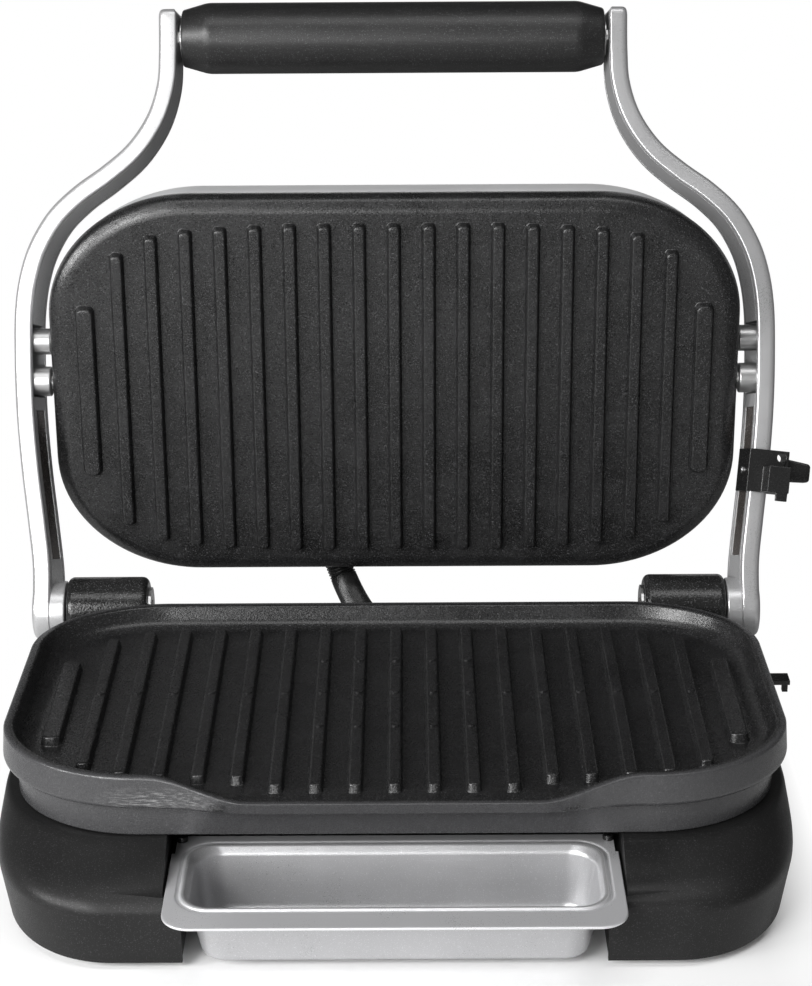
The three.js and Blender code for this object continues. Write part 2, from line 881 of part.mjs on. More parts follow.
function ribBody(x, from, to, topWidth, baseWidth, floor) {
  const ring = (halfWidth, endInset, z) => {
    const corner = halfWidth * 0.55;
    const low = from + endInset;
    const high = to - endInset;
    return [
      [x - halfWidth + corner, low],
      [x + halfWidth - corner, low],
      [x + halfWidth, low + corner],
      [x + halfWidth, high - corner],
      [x + halfWidth - corner, high],
      [x - halfWidth + corner, high],
      [x - halfWidth, high - corner],
      [x - halfWidth, low + corner],
    ].map(([px, py]) => new THREE.Vector3(px, py, z));
  };
  const slope = (baseWidth - topWidth) / 2;
  return ringBody([
    ring(baseWidth / 2, 0, floor - sink),
    ring(topWidth / 2 + slope / 3, slope, floor + rib_height * 0.8),
    ring(topWidth / 2 - slope / 3, slope * 2, floor + rib_height),
  ]);
}

function ribRow(centre, halfLength, lipExtra, floor) {
  const ribs = [];
  for (let i = -ribs_each_side; i <= ribs_each_side; i++) {
    const reach = halfLength * rib_reach_shares[Math.abs(i)];
    const extra = Math.abs(i) <= lip_ribs_each_side ? lipExtra : 0;
    const wide = Math.abs(i) === ribs_each_side ? end_rib_extra : 0;
    ribs.push(
      ribBody(
        i * rib_pitch,
        centre - reach - extra,
        centre + reach,
        rib_top_width + wide,
        rib_base_width + wide,
        floor,
      ),
    );
  }
  return ribs;
}

function lowerPlate() {
  const skirtBottom = deck_height + seat_gap;
  const ceiling = plate_floor - plate_thickness;
  const innerInset = skirt_inset + skirt_wall;
  const pan = ringBody([
    plateRing(innerInset + plate_thickness, ceiling),
    plateRing(innerInset, ceiling - plate_thickness / 2),
    plateRing(innerInset, skirtBottom),
    plateRing(skirt_inset, skirtBottom),
    plateRing(skirt_inset - band_edge, band_bottom - seat_gap, 0.3, 0.35),
    plateRing(band_edge, band_bottom, 0.2, 0.15),
    plateRing(0, band_bottom + band_edge_rise, 0.5, 0.25),
    plateRing(band_edge, rim_height - band_edge, 1, 1),
    plateRing(rim_edge, rim_height, 1, 1),
    plateRing(rim_edge + rim_width, rim_height, 1, 1),
    ...cove_shares.map(([width, depth, reach, drop]) =>
      plateRing(rim_edge + rim_width + cove_width * width, rim_height - rim_rise * depth, reach, drop),
    ),
  ]);
  return joined(pan, ...ribRow(lower_rib_centre, lower_rib_half_length, lip_rib_extra, plate_floor));
}

// A heating element: a loop open at the back, with its two terminals turned inwards
function elementBar(x, y, z) {
  const w = element_half_width;
  const h = element_half_height;
  const t = element_terminal_x;
  const points = [
    [-t, h * 0.55],
    [-t * 1.6, h * 0.9],
    [-t * 2.6, h],
    [-w * 0.75, h],
    [-w * 0.96, h * 0.7],
    [-w, 0],
    [-w * 0.96, -h * 0.7],
    [-w * 0.75, -h],
    [0, -h],
    [w * 0.75, -h],
    [w * 0.96, -h * 0.7],
    [w, 0],
    [w * 0.96, h * 0.7],
    [w * 0.75, h],
    [t * 2.6, h],
    [t * 1.6, h * 0.9],
    [t, h * 0.55],
  ].map(([px, py]) => new THREE.Vector3(x + px, y + py, z));
  return roundBar(new THREE.CatmullRomCurve3(points), element_radius, element_steps, element_sides);
}

function thermostat() {
  return turned([
    [0, 0],
    [thermostat_radius, 0],
    [thermostat_radius, thermostat_rim],
    [thermostat_radius - thermostat_rim, thermostat_rim],
    [thermostat_radius - thermostat_rim, thermostat_height],
    [0, thermostat_height],
  ], small_sides + 2);
}

function terminalBlock() {
  const low = casing_bottom + cover_plate_thickness + seat_gap;
  const body = boxBetween(
    [block_x - block_length / 2, block_y - block_width / 2, low],
    [block_x + block_length / 2, block_y + block_width / 2, low + block_height],
  );
  const ways = 3;
  const wells = [];
  for (let i = 0; i < ways; i++) {
    const x = block_x + block_length * ((i + 0.5) / ways - 0.5);
    const well = cylinderAlongZ(block_length / ways / 3.4, low + block_height / 2, low + block_height * 2);
    wells.push(well.translate(x, block_y, 0));
  }
  return cutFrom(body, ...wells);
}

function cordGland() {
  const outside = base_back + seat_gap;
  const inside = base_back - casing_wall - base_draft_end * 2 - seat_gap;
  const clip = gland_radius + gland_clip;
  const profile = [
    [gland_bore_radius, inside - gland_flange],
    [gland_radius, inside - gland_flange],
    [clip, inside - gland_flange / 2],
    [gland_radius, inside],
    [gland_radius, outside],
    [gland_flange_radius, outside],
    [gland_flange_radius, outside + gland_flange],
    [gland_radius, outside + gland_flange + gland_step],
    [gland_bore_radius + gland_nose_wall, outside + gland_flange + gland_nose],
    [gland_bore_radius, outside + gland_flange + gland_nose],
    [gland_bore_radius, inside - gland_flange],
  ];
  return turned(profile, small_sides + 4).rotateX(-Math.PI / 2).translate(gland_x, 0, gland_z);
}

// Hinge housings, which are the caps over the shafts

function hingeHousing() {
  const block = slabAlongX(
    housingSection(hub_z - housing_round * 2),
    housing_inner_x,
    housing_outer_x,
    housing_round,
  );
  const below = boxBetween(
    [0, hub_y - housing_radius * 2, 0],
    [base_half_width, hub_y + housing_radius * 2, hub_z + seat_gap],
  );
  const bore = atHinge(cylinderAlongX(shaft_radius + seat_gap, 0, base_half_width));
  return cutFrom(block, below, bore);
}

function hingeShaft() {
  const end = hub_outer_x - hub_cap_thickness - seat_gap;
  return atHinge(cylinderAlongX(shaft_radius, housing_inner_x - washer_thickness - seat_gap * 2, end));
}

function hingeWasher() {
  const outer = housing_inner_x - seat_gap;
  const inner = outer - washer_thickness;
  const bore = shaft_radius + seat_gap;
  const ring = turnedAlongX([
    [bore, inner],
    [washer_radius, inner],
    [washer_radius, outer],
    [bore, outer],
    [bore, inner],
  ]);
  return atHinge(ring);
}

function hubCap() {
  const start = hub_outer_x - hub_cap_thickness;
  return turnedAlongX([
    [0, start],
    [hub_cap_radius, start],
    [hub_cap_radius, hub_outer_x - hub_cap_edge],
    [hub_cap_radius - hub_cap_edge, hub_outer_x],
    [0, hub_outer_x],
  ]);
}

// Arms, drawn in their own frame: the hinge axis is the origin, Z runs along the arm

const armRoute = new THREE.CatmullRomCurve3(
  arm_route_shares.map(
    ([spread, along]) =>
      new THREE.Vector3(arm_top_x + (arm_widest_x - arm_top_x) * spread, 0, arm_length * along),
  ),
);

// The point of the route at one distance along the arm
function routeAt(along) {
  let low = 0;
  let high = 1;
  for (let i = 0; i < 40; i++) {
    const middle = (low + high) / 2;
    if (armRoute.getPoint(middle).z < along) low = middle;
    else high = middle;
  }
  return (low + high) / 2;
}

// A section of [inward, depth] pairs carried along the arm between two distances; the section is made
// for the arm's width at its back at each step
function armSweep(section, from, to, steps) {
  const start = routeAt(from);
  const end = routeAt(to);
  const rings = [];
  for (let i = 0; i <= steps; i++) {
    const t = start + ((end - start) * i) / steps;
    const p = armRoute.getPoint(t);
    const along = armRoute.getTangent(t);
    const narrow = THREE.MathUtils.smoothstep(p.z, arm_narrow_from, handle_distance);
    const backWidth = arm_back_width + (arm_top_back_width - arm_back_width) * narrow;
    rings.push(
      section(backWidth).map(([inward, depth]) =>
        new THREE.Vector3(p.x - along.z * inward, depth, p.z + along.x * inward),
      ),
    );
  }
  return ringBody(rings);
}

const half_depth = arm_depth / 2;

// How far inward the slanted inner face lies at one depth
function innerFace(depth, backWidth = arm_back_width) {
  return arm_face_width + (backWidth - arm_face_width) * (depth / arm_depth + 0.5);
}

function armSection(backWidth) {
  const c = arm_corner;
  const cut = c * 0.3;
  return [
    [0, -half_depth + c],
    [0, half_depth - c],
    [cut, half_depth - cut],
    [c, half_depth],
    [backWidth - c, half_depth],
    [backWidth - cut, half_depth - cut],
    [innerFace(half_depth - c, backWidth), half_depth - c],
    [innerFace(c - half_depth, backWidth), -half_depth + c],
    [arm_face_width - cut, -half_depth + cut],
    [arm_face_width - c, -half_depth],
    [c, -half_depth],
    [cut, -half_depth + cut],
  ];
}

function channelSection(depth, halfWidth, above) {
  return () => [
    [innerFace(-halfWidth) - depth, -halfWidth],
    [innerFace(halfWidth) - depth, halfWidth],
    [innerFace(halfWidth) + above, halfWidth],
    [innerFace(-halfWidth) + above, -halfWidth],
  ];
}

function armBody() {
  const bar = armSweep(armSection, 0, arm_length, arm_steps);
  const hub = turnedAlongX(
    [
      [0, hub_inner_x],
      [hub_radius, hub_inner_x],
      [hub_radius, hub_outer_x - hub_round],
      [hub_radius - hub_round / 3, hub_outer_x - hub_round / 3],
      [hub_radius - hub_round, hub_outer_x],
      [0, hub_outer_x],
    ],
    round_sides + small_sides,
  );
  const channel = armSweep(
    channelSection(channel_depth, channel_half_width, cut_overrun),
    channel_start,
    channel_end,
    6,
  );
  const pocketSection = () => [
    [pocket_floor, -pocket_half_depth],
    [pocket_floor, pocket_half_depth],
    [arm_back_width + cut_overrun, pocket_half_depth],
    [arm_back_width + cut_overrun, -pocket_half_depth],
  ];
  const pocket = armSweep(pocketSection, pocket_start, pocket_end, 3);
  const shaftBore = cylinderAlongX(shaft_radius + seat_gap, 0, hub_outer_x + cut_overrun);
  const capSeat = cylinderAlongX(
    hub_cap_radius + seat_gap,
    hub_outer_x - hub_cap_thickness - seat_gap,
    hub_outer_x + cut_overrun,
  );
  const pivotBore = cylinderAlongX(pivot_pin_radius + seat_gap, arm_top_x, pivotEnd() + seat_gap);
  pivotBore.translate(0, 0, arm_radius);
  const stopBore = cylinderAlongX(stop_pin_radius / 2 + seat_gap, arm_top_x, stopEnd() + seat_gap);
  stopBore.translate(0, 0, arm_radius + stop_pin_distance);
  const rodHole = cylinderAlongX(grip_rod_radius + seat_gap, 0, arm_widest_x, small_sides);
  rodHole.translate(0, 0, handle_distance);
  const screwSeat = cylinderAlongX(
    handle_screw_radius + seat_gap,
    arm_top_x - screw_head_height - seat_gap,
    arm_widest_x,
  );
  screwSeat.translate(0, 0, handle_distance);
  const bores = [shaftBore, capSeat, pivotBore, stopBore, rodHole, screwSeat];
  return cutFrom(joined(bar, hub), channel, pocket, ...bores);
}

function armInsert() {
  const lift = channel_depth - seat_gap;
  const section = channelSection(lift, channel_half_width - seat_gap, -seat_gap);
  return armSweep(section, channel_start + seat_gap, channel_end - seat_gap, 6);
}

// Where the pivot pin starts inside the head, and where the pivot and stop pins end inside the arm
function pivotStart() {
  return head_half_width - casting_wall - pin_step;
}

function pivotEnd() {
  return armRoute.getPoint(routeAt(arm_radius)).x - pocket_floor / 2;
}

function stopEnd() {
  return armRoute.getPoint(routeAt(arm_radius + stop_pin_distance)).x - pocket_floor / 2;
}

function pivotPin() {
  const collarStart = head_half_width + seat_gap * 2;
  const collarEnd = armRoute.getPoint(routeAt(arm_radius)).x - pocket_floor - seat_gap;
  const end = pivotEnd();
  return turnedAlongX([
    [0, pivotStart()],
    [pivot_pin_radius, pivotStart()],
    [pivot_pin_radius, collarStart],
    [pivot_collar_radius - collar_chamfer, collarStart],
    [pivot_collar_radius, collarStart + collar_chamfer],
    [pivot_collar_radius, collarEnd],
    [pivot_pin_radius, collarEnd],
    [pivot_pin_radius, end],
    [0, end],
  ]);
}

function stopPin() {
  const tip = head_half_width - pin_tip_reach;
  const collarStart = head_half_width + seat_gap * 2;
  const collarEnd = armRoute.getPoint(routeAt(arm_radius + stop_pin_distance)).x - pocket_floor - seat_gap;
  const shank = stop_pin_radius / 2;
  return turnedAlongX([
    [0, tip],
    [stop_tip_radius, tip],
    [stop_tip_radius, collarStart],
    [stop_pin_radius - collar_chamfer, collarStart],
    [stop_pin_radius, collarStart + collar_chamfer],
    [stop_pin_radius, collarEnd],
    [shank, collarEnd],
    [shank, stopEnd()],
    [0, stopEnd()],
  ]).translate(0, 0, arm_radius + stop_pin_distance);
}

// Handle grip, rod and screws

const grip_half_length = arm_top_x - arm_top_back_width - seat_gap * 2;

function handleGrip() {
  const l = grip_half_length;
  const bore = grip_bore_radius;
  const straight = l - grip_taper;
  const outer = [
    [bore, -l],
    [grip_end_radius - grip_end_edge, -l],
    [grip_end_radius, -l + grip_end_edge],
    [grip_radius - grip_round * 0.5, -straight - grip_round * 0.75],
    [grip_radius, -straight + grip_round],
    [grip_radius, straight - grip_round],
    [grip_radius - grip_round * 0.5, straight + grip_round * 0.75],
    [grip_end_radius, l - grip_end_edge],
    [grip_end_radius - grip_end_edge, l],
    [bore, l],
    [bore, -l],
  ];
  return turnedAlongX(outer, round_sides + small_sides).translate(0, 0, handle_distance);
}

function handleRod() {
  const end = arm_top_x - screw_head_height - seat_gap * 2;
  return cylinderAlongX(grip_rod_radius, -end, end, small_sides).translate(0, 0, handle_distance);
}

function handleScrew() {
  const start = arm_top_x - screw_head_height;
  return turnedAlongX([
    [0, start],
    [handle_screw_radius, start],
    [handle_screw_radius, start + screw_head_height - handle_screw_edge / 1.5],
    [handle_screw_radius - handle_screw_edge, start + screw_head_height],
    [0, start + screw_head_height],
  ]).translate(0, 0, handle_distance);
}

// Upper plate and cover, drawn flat: X across, Y up the open plate, Z out of the cooking face

const headOutline = {
  half: head_half_width,
  front: head_centre_up - head_half_height,
  back: head_centre_up + head_half_height,
  rx: head_corner_x,
  rf: head_corner_y,
  rb: head_corner_y,
};

function headRing(inset, z) {
  return roundedRing(headOutline, inset, z);
}

// The cover's corners are rounder, so that the plate hides them from the front
function coverRing(inset, z) {
  const more = cover_corner_extra;
  const size = { ...headOutline };
  size.rx += more;
  size.rf += more;
  size.rb += more;
  return roundedRing(size, inset, z);
}

// Turns a body drawn flat so that its face points to the front
function faceForward(geometry) {
  return geometry.rotateX(Math.PI / 2);
}

function headBossPlaces() {
  const places = [];
  for (const x of [-head_boss_x, head_boss_x]) {
    for (const y of [-head_boss_up, head_boss_up]) places.push([x, y + head_centre_up]);
  }
  return places;
}

// Cuts through the side walls for the pivot pins, in the head's upright frame
function pivotHoles() {
  const hole = cylinderAlongX(pivot_pin_radius + seat_gap, head_half_width / 2, arm_widest_x);
  return [hole, mirrored(hole)];
}

function upperPlate() {
  const ceiling = face_offset - plate_thickness;
  const pan = ringBody([
    headRing(casting_wall + plate_thickness, ceiling),
    headRing(casting_wall, ceiling - plate_thickness / 2),
    headRing(casting_wall, head_joint),
    headRing(cover_edge_inset, head_joint),
    headRing(0, head_joint + head_edge_rise),
    ...head_shoulder_shares.map(([width, drop]) =>
      headRing(head_shoulder_width * width, face_offset - head_shoulder_drop * drop),
    ),
  ]);
  const bosses = headBossPlaces().map(([x, y]) =>
    cylinderAlongZ(boss_radius, head_joint, ceiling + sink, small_sides).translate(x, y, 0),
  );
  const pilots = headBossPlaces().map(([x, y]) =>
    cylinderAlongZ(
      screw_radius + seat_gap,
      head_joint - cut_overrun,
      ceiling - pilot_floor,
      small_sides,
    ).translate(x, y, 0),
  );
  const ribs = ribRow(head_centre_up, upper_rib_half_length, 0, face_offset);
  const body = cutFrom(joined(pan, ...bosses, ...ribs), ...pilots);
  return cutFrom(faceForward(body), ...pivotHoles());
}

// The slot in the cover's side that the stop pin's tip moves in
function stopSlot() {
  const open = radians(open_lean);
  const deepest = stop_pin_distance * Math.sin(open) + stop_tip_radius + seat_gap;
  const low = stop_pin_distance * Math.cos(open) - stop_tip_radius - seat_gap * 1.5;
  return boxBetween(
    [head_half_width / 2 + head_half_width / 3, -head_joint - cut_overrun, low],
    [head_half_width + cut_overrun, deepest, stop_pin_distance + stop_tip_radius + seat_gap],
  );
}

function wellTube(x, y) {
  const low = head_joint - cover_depth + cover_wall / 2;
  const top = head_joint - seat_gap - well_land;
  return cylinderAlongZ(cover_well_radius, low, top, small_sides).translate(x, y, 0);
}

function topCover() {
  const start = head_joint - seat_gap;
  const back = start - cover_depth;
  const shell = (inset, end) =>
    cover_slope_shares.map(([width, depth]) =>
      coverRing(cover_slope_width * width + inset, start + (end - start) * depth),
    );
  const edge = cover_edge_inset;
  const outer = ringBody([coverRing(edge, start), ...shell(0, back)]);
  const mouth = coverRing(edge + cover_wall, start + cut_overrun);
  const inner = ringBody([mouth, ...shell(cover_wall, back + cover_wall)]);
  const places = headBossPlaces();
  const body = joined(cutFrom(outer, inner), ...places.map(([x, y]) => wellTube(x, y)));
  const wells = places.map(([x, y]) =>
    cylinderAlongZ(
      cover_well_bore,
      back - cut_overrun,
      start - screw_seat_depth,
      small_sides,
    ).translate(x, y, 0),
  );
  const holes = places.map(([x, y]) =>
    cylinderAlongZ(
      screw_radius + seat_gap,
      start - screw_seat_depth - well_land,
      start + cut_overrun,
      small_sides,
    ).translate(x, y, 0),
  );
  const upright = faceForward(cutFrom(body, ...wells, ...holes));
  const sleeveHole = cylinderAlongZ(sleeve_radius + seat_gap, -sleeve_outside * 2, sleeve_inside * 2);
  sleeveHole.applyMatrix4(headFromWorld().multiply(hoseEndFrame()));
  return cutFrom(upright, ...pivotHoles(), stopSlot(), mirrored(stopSlot()), sleeveHole);
}

// The way from the world into the head's frame
function headFromWorld() {
  const p = pivotPlace();
  return new THREE.Matrix4().makeTranslation(-p.x, -p.y, -p.z);
}

// The shield lies on the casting's rear face inside the cover, cut out round the wells and the pivot pins
function headShield() {
  const z = head_joint - seat_gap;
  const inset = cover_edge_inset + cover_wall + seat_gap;
  const sheet = ringBody([coverRing(inset, z - shield_thickness), coverRing(inset, z)]);
  const clear = headBossPlaces().map(([x, y]) =>
    cylinderAlongZ(
      cover_well_radius + seat_gap,
      z - cut_overrun,
      z + cut_overrun,
      small_sides,
    ).translate(x, y, 0),
  );
  const pin = cylinderAlongX(pivot_pin_radius + seat_gap, pivotStart() - seat_gap, arm_widest_x);
  return faceForward(cutFrom(sheet, ...clear, pin, mirrored(pin)));
}

function upperElement() {
  const z = face_offset - plate_thickness - seat_gap - element_radius;
  return faceForward(elementBar(0, head_centre_up, z));
}

function upperThermostat() {
  const z = face_offset - plate_thickness - seat_gap;
  const body = thermostat().rotateX(Math.PI).translate(0, head_centre_up, z);
  return faceForward(body);
}

function lowerShield() {
  const low = deck_height + seat_gap;
  const inset = skirt_inset + skirt_wall + shield_clearance;
  const sheet = ringBody([
    roundedRing(plateOutline, inset, low),
    roundedRing(plateOutline, inset, low + shield_thickness),
  ]);
  const bayEdge = boxBetween(
    [-ledge_half_width - shield_clearance, plate_front, 0],
    [ledge_half_width + shield_clearance, bay_back + shield_clearance, rim_height],
  );
  return cutFrom(sheet, bayEdge);
}

// Drip tray

function trayRing(sideInset, frontInset, backInset, corner, backCorner, z) {
  const size = {
    half: tray_half_width - sideInset,
    front: tray_front + frontInset,
    back: tray_back - backInset,
    rx: corner,
    rf: corner,
    rb: backCorner,
  };
  return roundedRing(size, 0, z);
}

function dripTray() {
  const low = ledge_height + seat_gap;
  const top = low + tray_sheet;
  const side = tray_flange_side;
  const front = tray_flange_front;
  const back = tray_flange_back;
  const c = tray_bowl_corner;
  const s = tray_sheet;
  const r = tray_bottom_round;
  const neck = low - tray_neck;
  const bead = tray_bead_width;
  const crest = bead * 0.375;
  const ds = tray_draft_side;
  const df = tray_draft_front;
  const bowl = ringBody([
    trayRing(side + ds + r, front + df + r, back + df + r, c - r, c - r, tray_bottom),
    trayRing(side + ds, front + df, back + df, c, c, tray_bottom + r),
    trayRing(side + s * 1.5, front + s * 1.5, back + s * 1.5, c, c, neck),
    trayRing(side, front, back, c, c, low),
    trayRing(0, 0, 0, tray_corner, tray_back_corner, low),
    trayRing(0, 0, 0, tray_corner, tray_back_corner, top),
    trayRing(side - bead, front - bead, back - bead, c, c, top),
    trayRing(side - crest, front - crest, back - crest, c, c, top + tray_bead_height),
    trayRing(side + s, front + s, back + s, c, c, top + tray_bead_height * 0.45),
    trayRing(side + s * 2.5, front + s * 2.5, back + s * 2.5, c, c, neck),
    trayRing(side + ds + s, front + df + s, back + df + s, c - s, c - s, tray_bottom + r + s),
    trayRing(side + ds + s + r, front + df + s + r, back + df + s + r, c - s - r, c - s - r, tray_bottom + s),
  ]);
  const notch = boxBetween(
    [tray_half_width - tray_notch_depth, tray_notch_y, 0],
    [base_half_width, tray_back + cut_overrun, deck_height],
  );
  const stem = cylinderAlongZ(stud_radius / 2 + seat_gap, 0, deck_height, small_sides);
  stem.translate(stud_x, stud_y, 0);
  return cutFrom(bowl, notch, mirrored(notch), stem, mirrored(stem));
}

function trayStud() {
  const top = ledge_height + seat_gap + tray_sheet;
  return turned(
    [
      [0, top - tray_sheet],
      [stud_radius / 2, top - tray_sheet],
      [stud_radius / 2, top + seat_gap],
      [stud_radius, top + seat_gap],
      [stud_radius, top + stud_height - stud_edge],
      [stud_radius - stud_edge, top + stud_height],
      [0, top + stud_height],
    ],
    small_sides,
  ).translate(stud_x, stud_y, 0);
}

// Ribbed conduit

function hoseCurve() {
  const out = new THREE.Vector3(0, 1, 0).transformDirection(headingFrame(hose_start));
  const first = hose_start.clone().addScaledVector(out, hose_straight);
  const last = hose_end.clone().addScaledVector(hose_end_direction, -hose_straight);
  const pull = first.distanceTo(last) / 4;
  const path = new THREE.CurvePath();
  path.add(new THREE.LineCurve3(hose_start, first));
  path.add(
    new THREE.CubicBezierCurve3(
      first,
      first.clone().addScaledVector(out, pull),
      last.clone().addScaledVector(hose_end_direction, -pull),
      last,
    ),
  );
  path.add(new THREE.LineCurve3(last, hose_end));
  return path;
}

function ribbedHose() {
  const path = hoseCurve();
  const length = path.getLength();
  const ribs = Math.floor(length / hose_rib_pitch);
  const across = new THREE.Vector3(1, 0, 0);
  const n = hose_ring_points;
  const ring = (share, radius) => {
    const p = path.getPointAt(share);
    const along = path.getTangentAt(share);
    const up = along.clone().cross(across).normalize();
    const side = up.clone().cross(along).normalize();
    const points = [];
    for (let k = 0; k < n; k++) {
      const turn = (2 * Math.PI * k) / n;
      points.push(
        p.clone().addScaledVector(side, radius * Math.cos(turn)).addScaledVector(up, radius * Math.sin(turn)),
      );
    }
    return points;
  };
  const rings = [ring(0, hose_radius - hose_rib_depth)];
  for (let i = 0; i < ribs; i++) {
    rings.push(ring((i + 0.5) / ribs, hose_radius));
    rings.push(ring((i + 1) / ribs, hose_radius - hose_rib_depth));
  }
  const boreEvery = 5;
  for (let i = ribs; i > 0; i -= boreEvery) rings.push(ring(i / ribs, hose_bore_radius));
  rings.push(ring(0, hose_bore_radius));
  const points = [];
  const faces = [];
  for (const r of rings) for (const p of r) points.push(p.x, p.y, p.z);
  for (let r = 0; r < rings.length; r++) {
    const next = (r + 1) % rings.length;
    for (let k = 0; k < n; k++) {
      const k2 = (k + 1) % n;
      const a = r * n + k;
      const b = r * n + k2;
      const c = next * n + k2;
      const d = next * n + k;
      faces.push(a, b, c, a, c, d);
    }
  }
  const g = new THREE.BufferGeometry();
  g.setAttribute("position", new THREE.Float32BufferAttribute(points, 3));
  g.setIndex(faces);
  return facesOut(g);
}

// The arched block on the deck that the conduit starts in, with a spigot down through the deck
function hoseGland() {
  const bottom = deck_height + seat_gap - hose_start.z;
  const outline = [[-gland_block_half, bottom], [gland_block_half, bottom]];
  const arcSteps = 10;
  for (let i = 0; i <= arcSteps; i++) {
    const turn = (Math.PI * i) / arcSteps;
    outline.push([gland_block_half * Math.cos(turn), gland_block_half * Math.sin(turn)]);
  }
  const block = slabAlongY(outline, -gland_block_front, gland_block_back);
  const spigotEnd = bottom - gland_spigot_drop;
  const spigot = cylinderAlongZ(gland_spigot_radius, spigotEnd, bottom + sink, small_sides);
  const bore = cylinderAlongZ(hose_radius + seat_gap, -seat_gap, gland_block_back + cut_overrun);
  bore.rotateX(-Math.PI / 2);
  const wires = cylinderAlongZ(hose_bore_radius / 1.5, spigotEnd - cut_overrun, 0, small_sides);
  const made = cutFrom(joined(block, spigot), bore, wires);
  return made.applyMatrix4(headingFrame(hose_start));
}

// The sleeve in the cover round the conduit's end
function hoseSleeve() {
  const bore = hose_radius + seat_gap;
  const r = sleeve_radius;
  const profile = [
    [bore, -sleeve_outside],
    [r - sleeve_round, -sleeve_outside],
    [r, sleeve_round - sleeve_outside],
    [r, sleeve_inside],
    [bore, sleeve_inside],
    [bore, -sleeve_outside],
  ];
  return turned(profile).applyMatrix4(headFromWorld().multiply(hoseEndFrame()));
}

// Lock clip: a sleeve round the arm's front, with a leg and toe that reach under the catch, and a knob

function lockClip() {
  const armFront = -half_depth - seat_gap;
  const front = armFront - lock_plate;
  const h = lock_half_length;
  const out = lock_outside;
  const side = out - lock_side;
  const edge = -arm_face_width - seat_gap;
  const innerAt = (depth) => -innerFace(depth) - seat_gap;
  const sleeveOutline = [
    [edge - lock_lip, front],
    [out, front],
    [out, lock_cheek_back],
    [side, lock_cheek_back],
    [side, armFront],
    [edge, armFront],
    [innerAt(lock_inner_back), lock_inner_back],
    [innerAt(lock_inner_back) - lock_lip, lock_inner_back],
    [edge - lock_lip, armFront],
  ];
  const legOut = lock_leg_outside;
  const leg = boxBetween([-lock_leg_inside, -lock_leg_reach, -h], [legOut, front + sink, lock_leg_high]);
  const toe = boxBetween(
    [legOut - lock_toe_width, -lock_leg_reach, -h - lock_toe_drop],
    [legOut - sink, -lock_leg_reach + lock_toe_height, -h + sink],
  );
  const end = out + knob_length;
  const knobOutline = [
    [out - sink, -knob_half_height],
    [end - knob_edge, -knob_end_half_height],
    [end, knob_edge - knob_end_half_height],
    [end, knob_end_half_height - knob_edge],
    [end - knob_edge, knob_end_half_height],
    [out - sink, knob_half_height],
  ];
  const knobMiddle = (front + lock_cheek_back) / 2;
  const knob = slabAlongY(knobOutline, knobMiddle - knob_half_depth, knobMiddle + knob_half_depth);
  const hole = cylinderAlongZ(lock_hole_radius, front - cut_overrun, lock_cheek_back + cut_overrun, small_sides)
    .rotateX(-Math.PI / 2)
    .translate(lock_hole_out, 0, lock_hole_up);
  return cutFrom(joined(slabAlongZ(sleeveOutline, -h, h), leg, toe, knob), hole);
}

function lockCatch() {
  const low = deck_height + catch_pad_rise + seat_gap;
  const t = catch_sheet;
  const high = catch_height;
  const outline = [
    [catch_foot_x, low],
    [catch_web_x + t, low],
    [catch_web_x + t, high - t],
    [catch_outer_x, high - t],
    [catch_outer_x, high],
    [catch_web_x, high],
    [catch_web_x, low + t],
    [catch_foot_x, low + t],
  ];
  const ledge = slabAlongY(outline, catch_front, catch_back);
  const spur = boxBetween(
    [catch_outer_x - catch_spur_width, catch_back - catch_spur_depth, catch_spur_low],
    [catch_outer_x, catch_back, high - sink],
  );
  return joined(ledge, spur);
}

// Assembly

function addBase() {
  piece(grill, "base_casing", baseCasing(), "casing");
  piece(grill, "bottom_cover", bottomCover(), "steel");
  for (const [name, [x, y]] of Object.entries(footPlaces())) {
    piece(grill, name, foot(), "rubber").position.set(x, y, 0);
  }
  bossPlaces().forEach(([x, y], i) => {
    const made = piece(grill, "base_screw_" + (i + 1), screw(screw_length), "steel");
    made.position.set(x, y, casing_bottom - seat_gap);
  });
  piece(grill, "lower_plate", lowerPlate(), "coating");
  const elementZ = plate_floor - plate_thickness - seat_gap - element_radius;
  piece(grill, "lower_heating_element", elementBar(0, lower_rib_centre, elementZ), "steel");
  piece(grill, "lower_heat_shield", lowerShield(), "steel");
  const top = plate_floor - plate_thickness - seat_gap;
  const lowerThermostat = thermostat().rotateX(Math.PI).translate(0, lower_rib_centre, top);
  piece(grill, "lower_thermostat", lowerThermostat, "ceramic");
  const fuse = cylinderAlongX(fuse_radius, -fuse_length / 2, fuse_length / 2, small_sides);
  const fuseZ = deck_height + seat_gap * 2 + shield_thickness + fuse_radius;
  piece(grill, "thermal_fuse", fuse.translate(element_half_width / 2, 0, fuseZ), "ceramic");
  piece(grill, "terminal_block", terminalBlock(), "ceramic");
  piece(grill, "cord_gland", cordGland(), "gloss_black");
  piece(grill, "right_hinge_housing", hingeHousing(), "casing");
  piece(grill, "left_hinge_housing", mirrored(hingeHousing()), "casing");
  piece(grill, "right_hinge_shaft", hingeShaft(), "steel");
  piece(grill, "left_hinge_shaft", mirrored(hingeShaft()), "steel");
  piece(grill, "right_hinge_washer", hingeWasher(), "silver");
  piece(grill, "left_hinge_washer", mirrored(hingeWasher()), "silver");
  piece(grill, "lock_catch", lockCatch(), "gloss_black");
  piece(grill, "ribbed_conduit", ribbedHose(), "gloss_black");
  piece(grill, "conduit_gland", hoseGland(), "gloss_black");
}

function addTray() {
  piece(grill, "drip_tray", dripTray(), "tray_metal");
  piece(grill, "right_tray_stud", trayStud(), "rubber");
  piece(grill, "left_tray_stud", mirrored(trayStud()), "rubber");
}

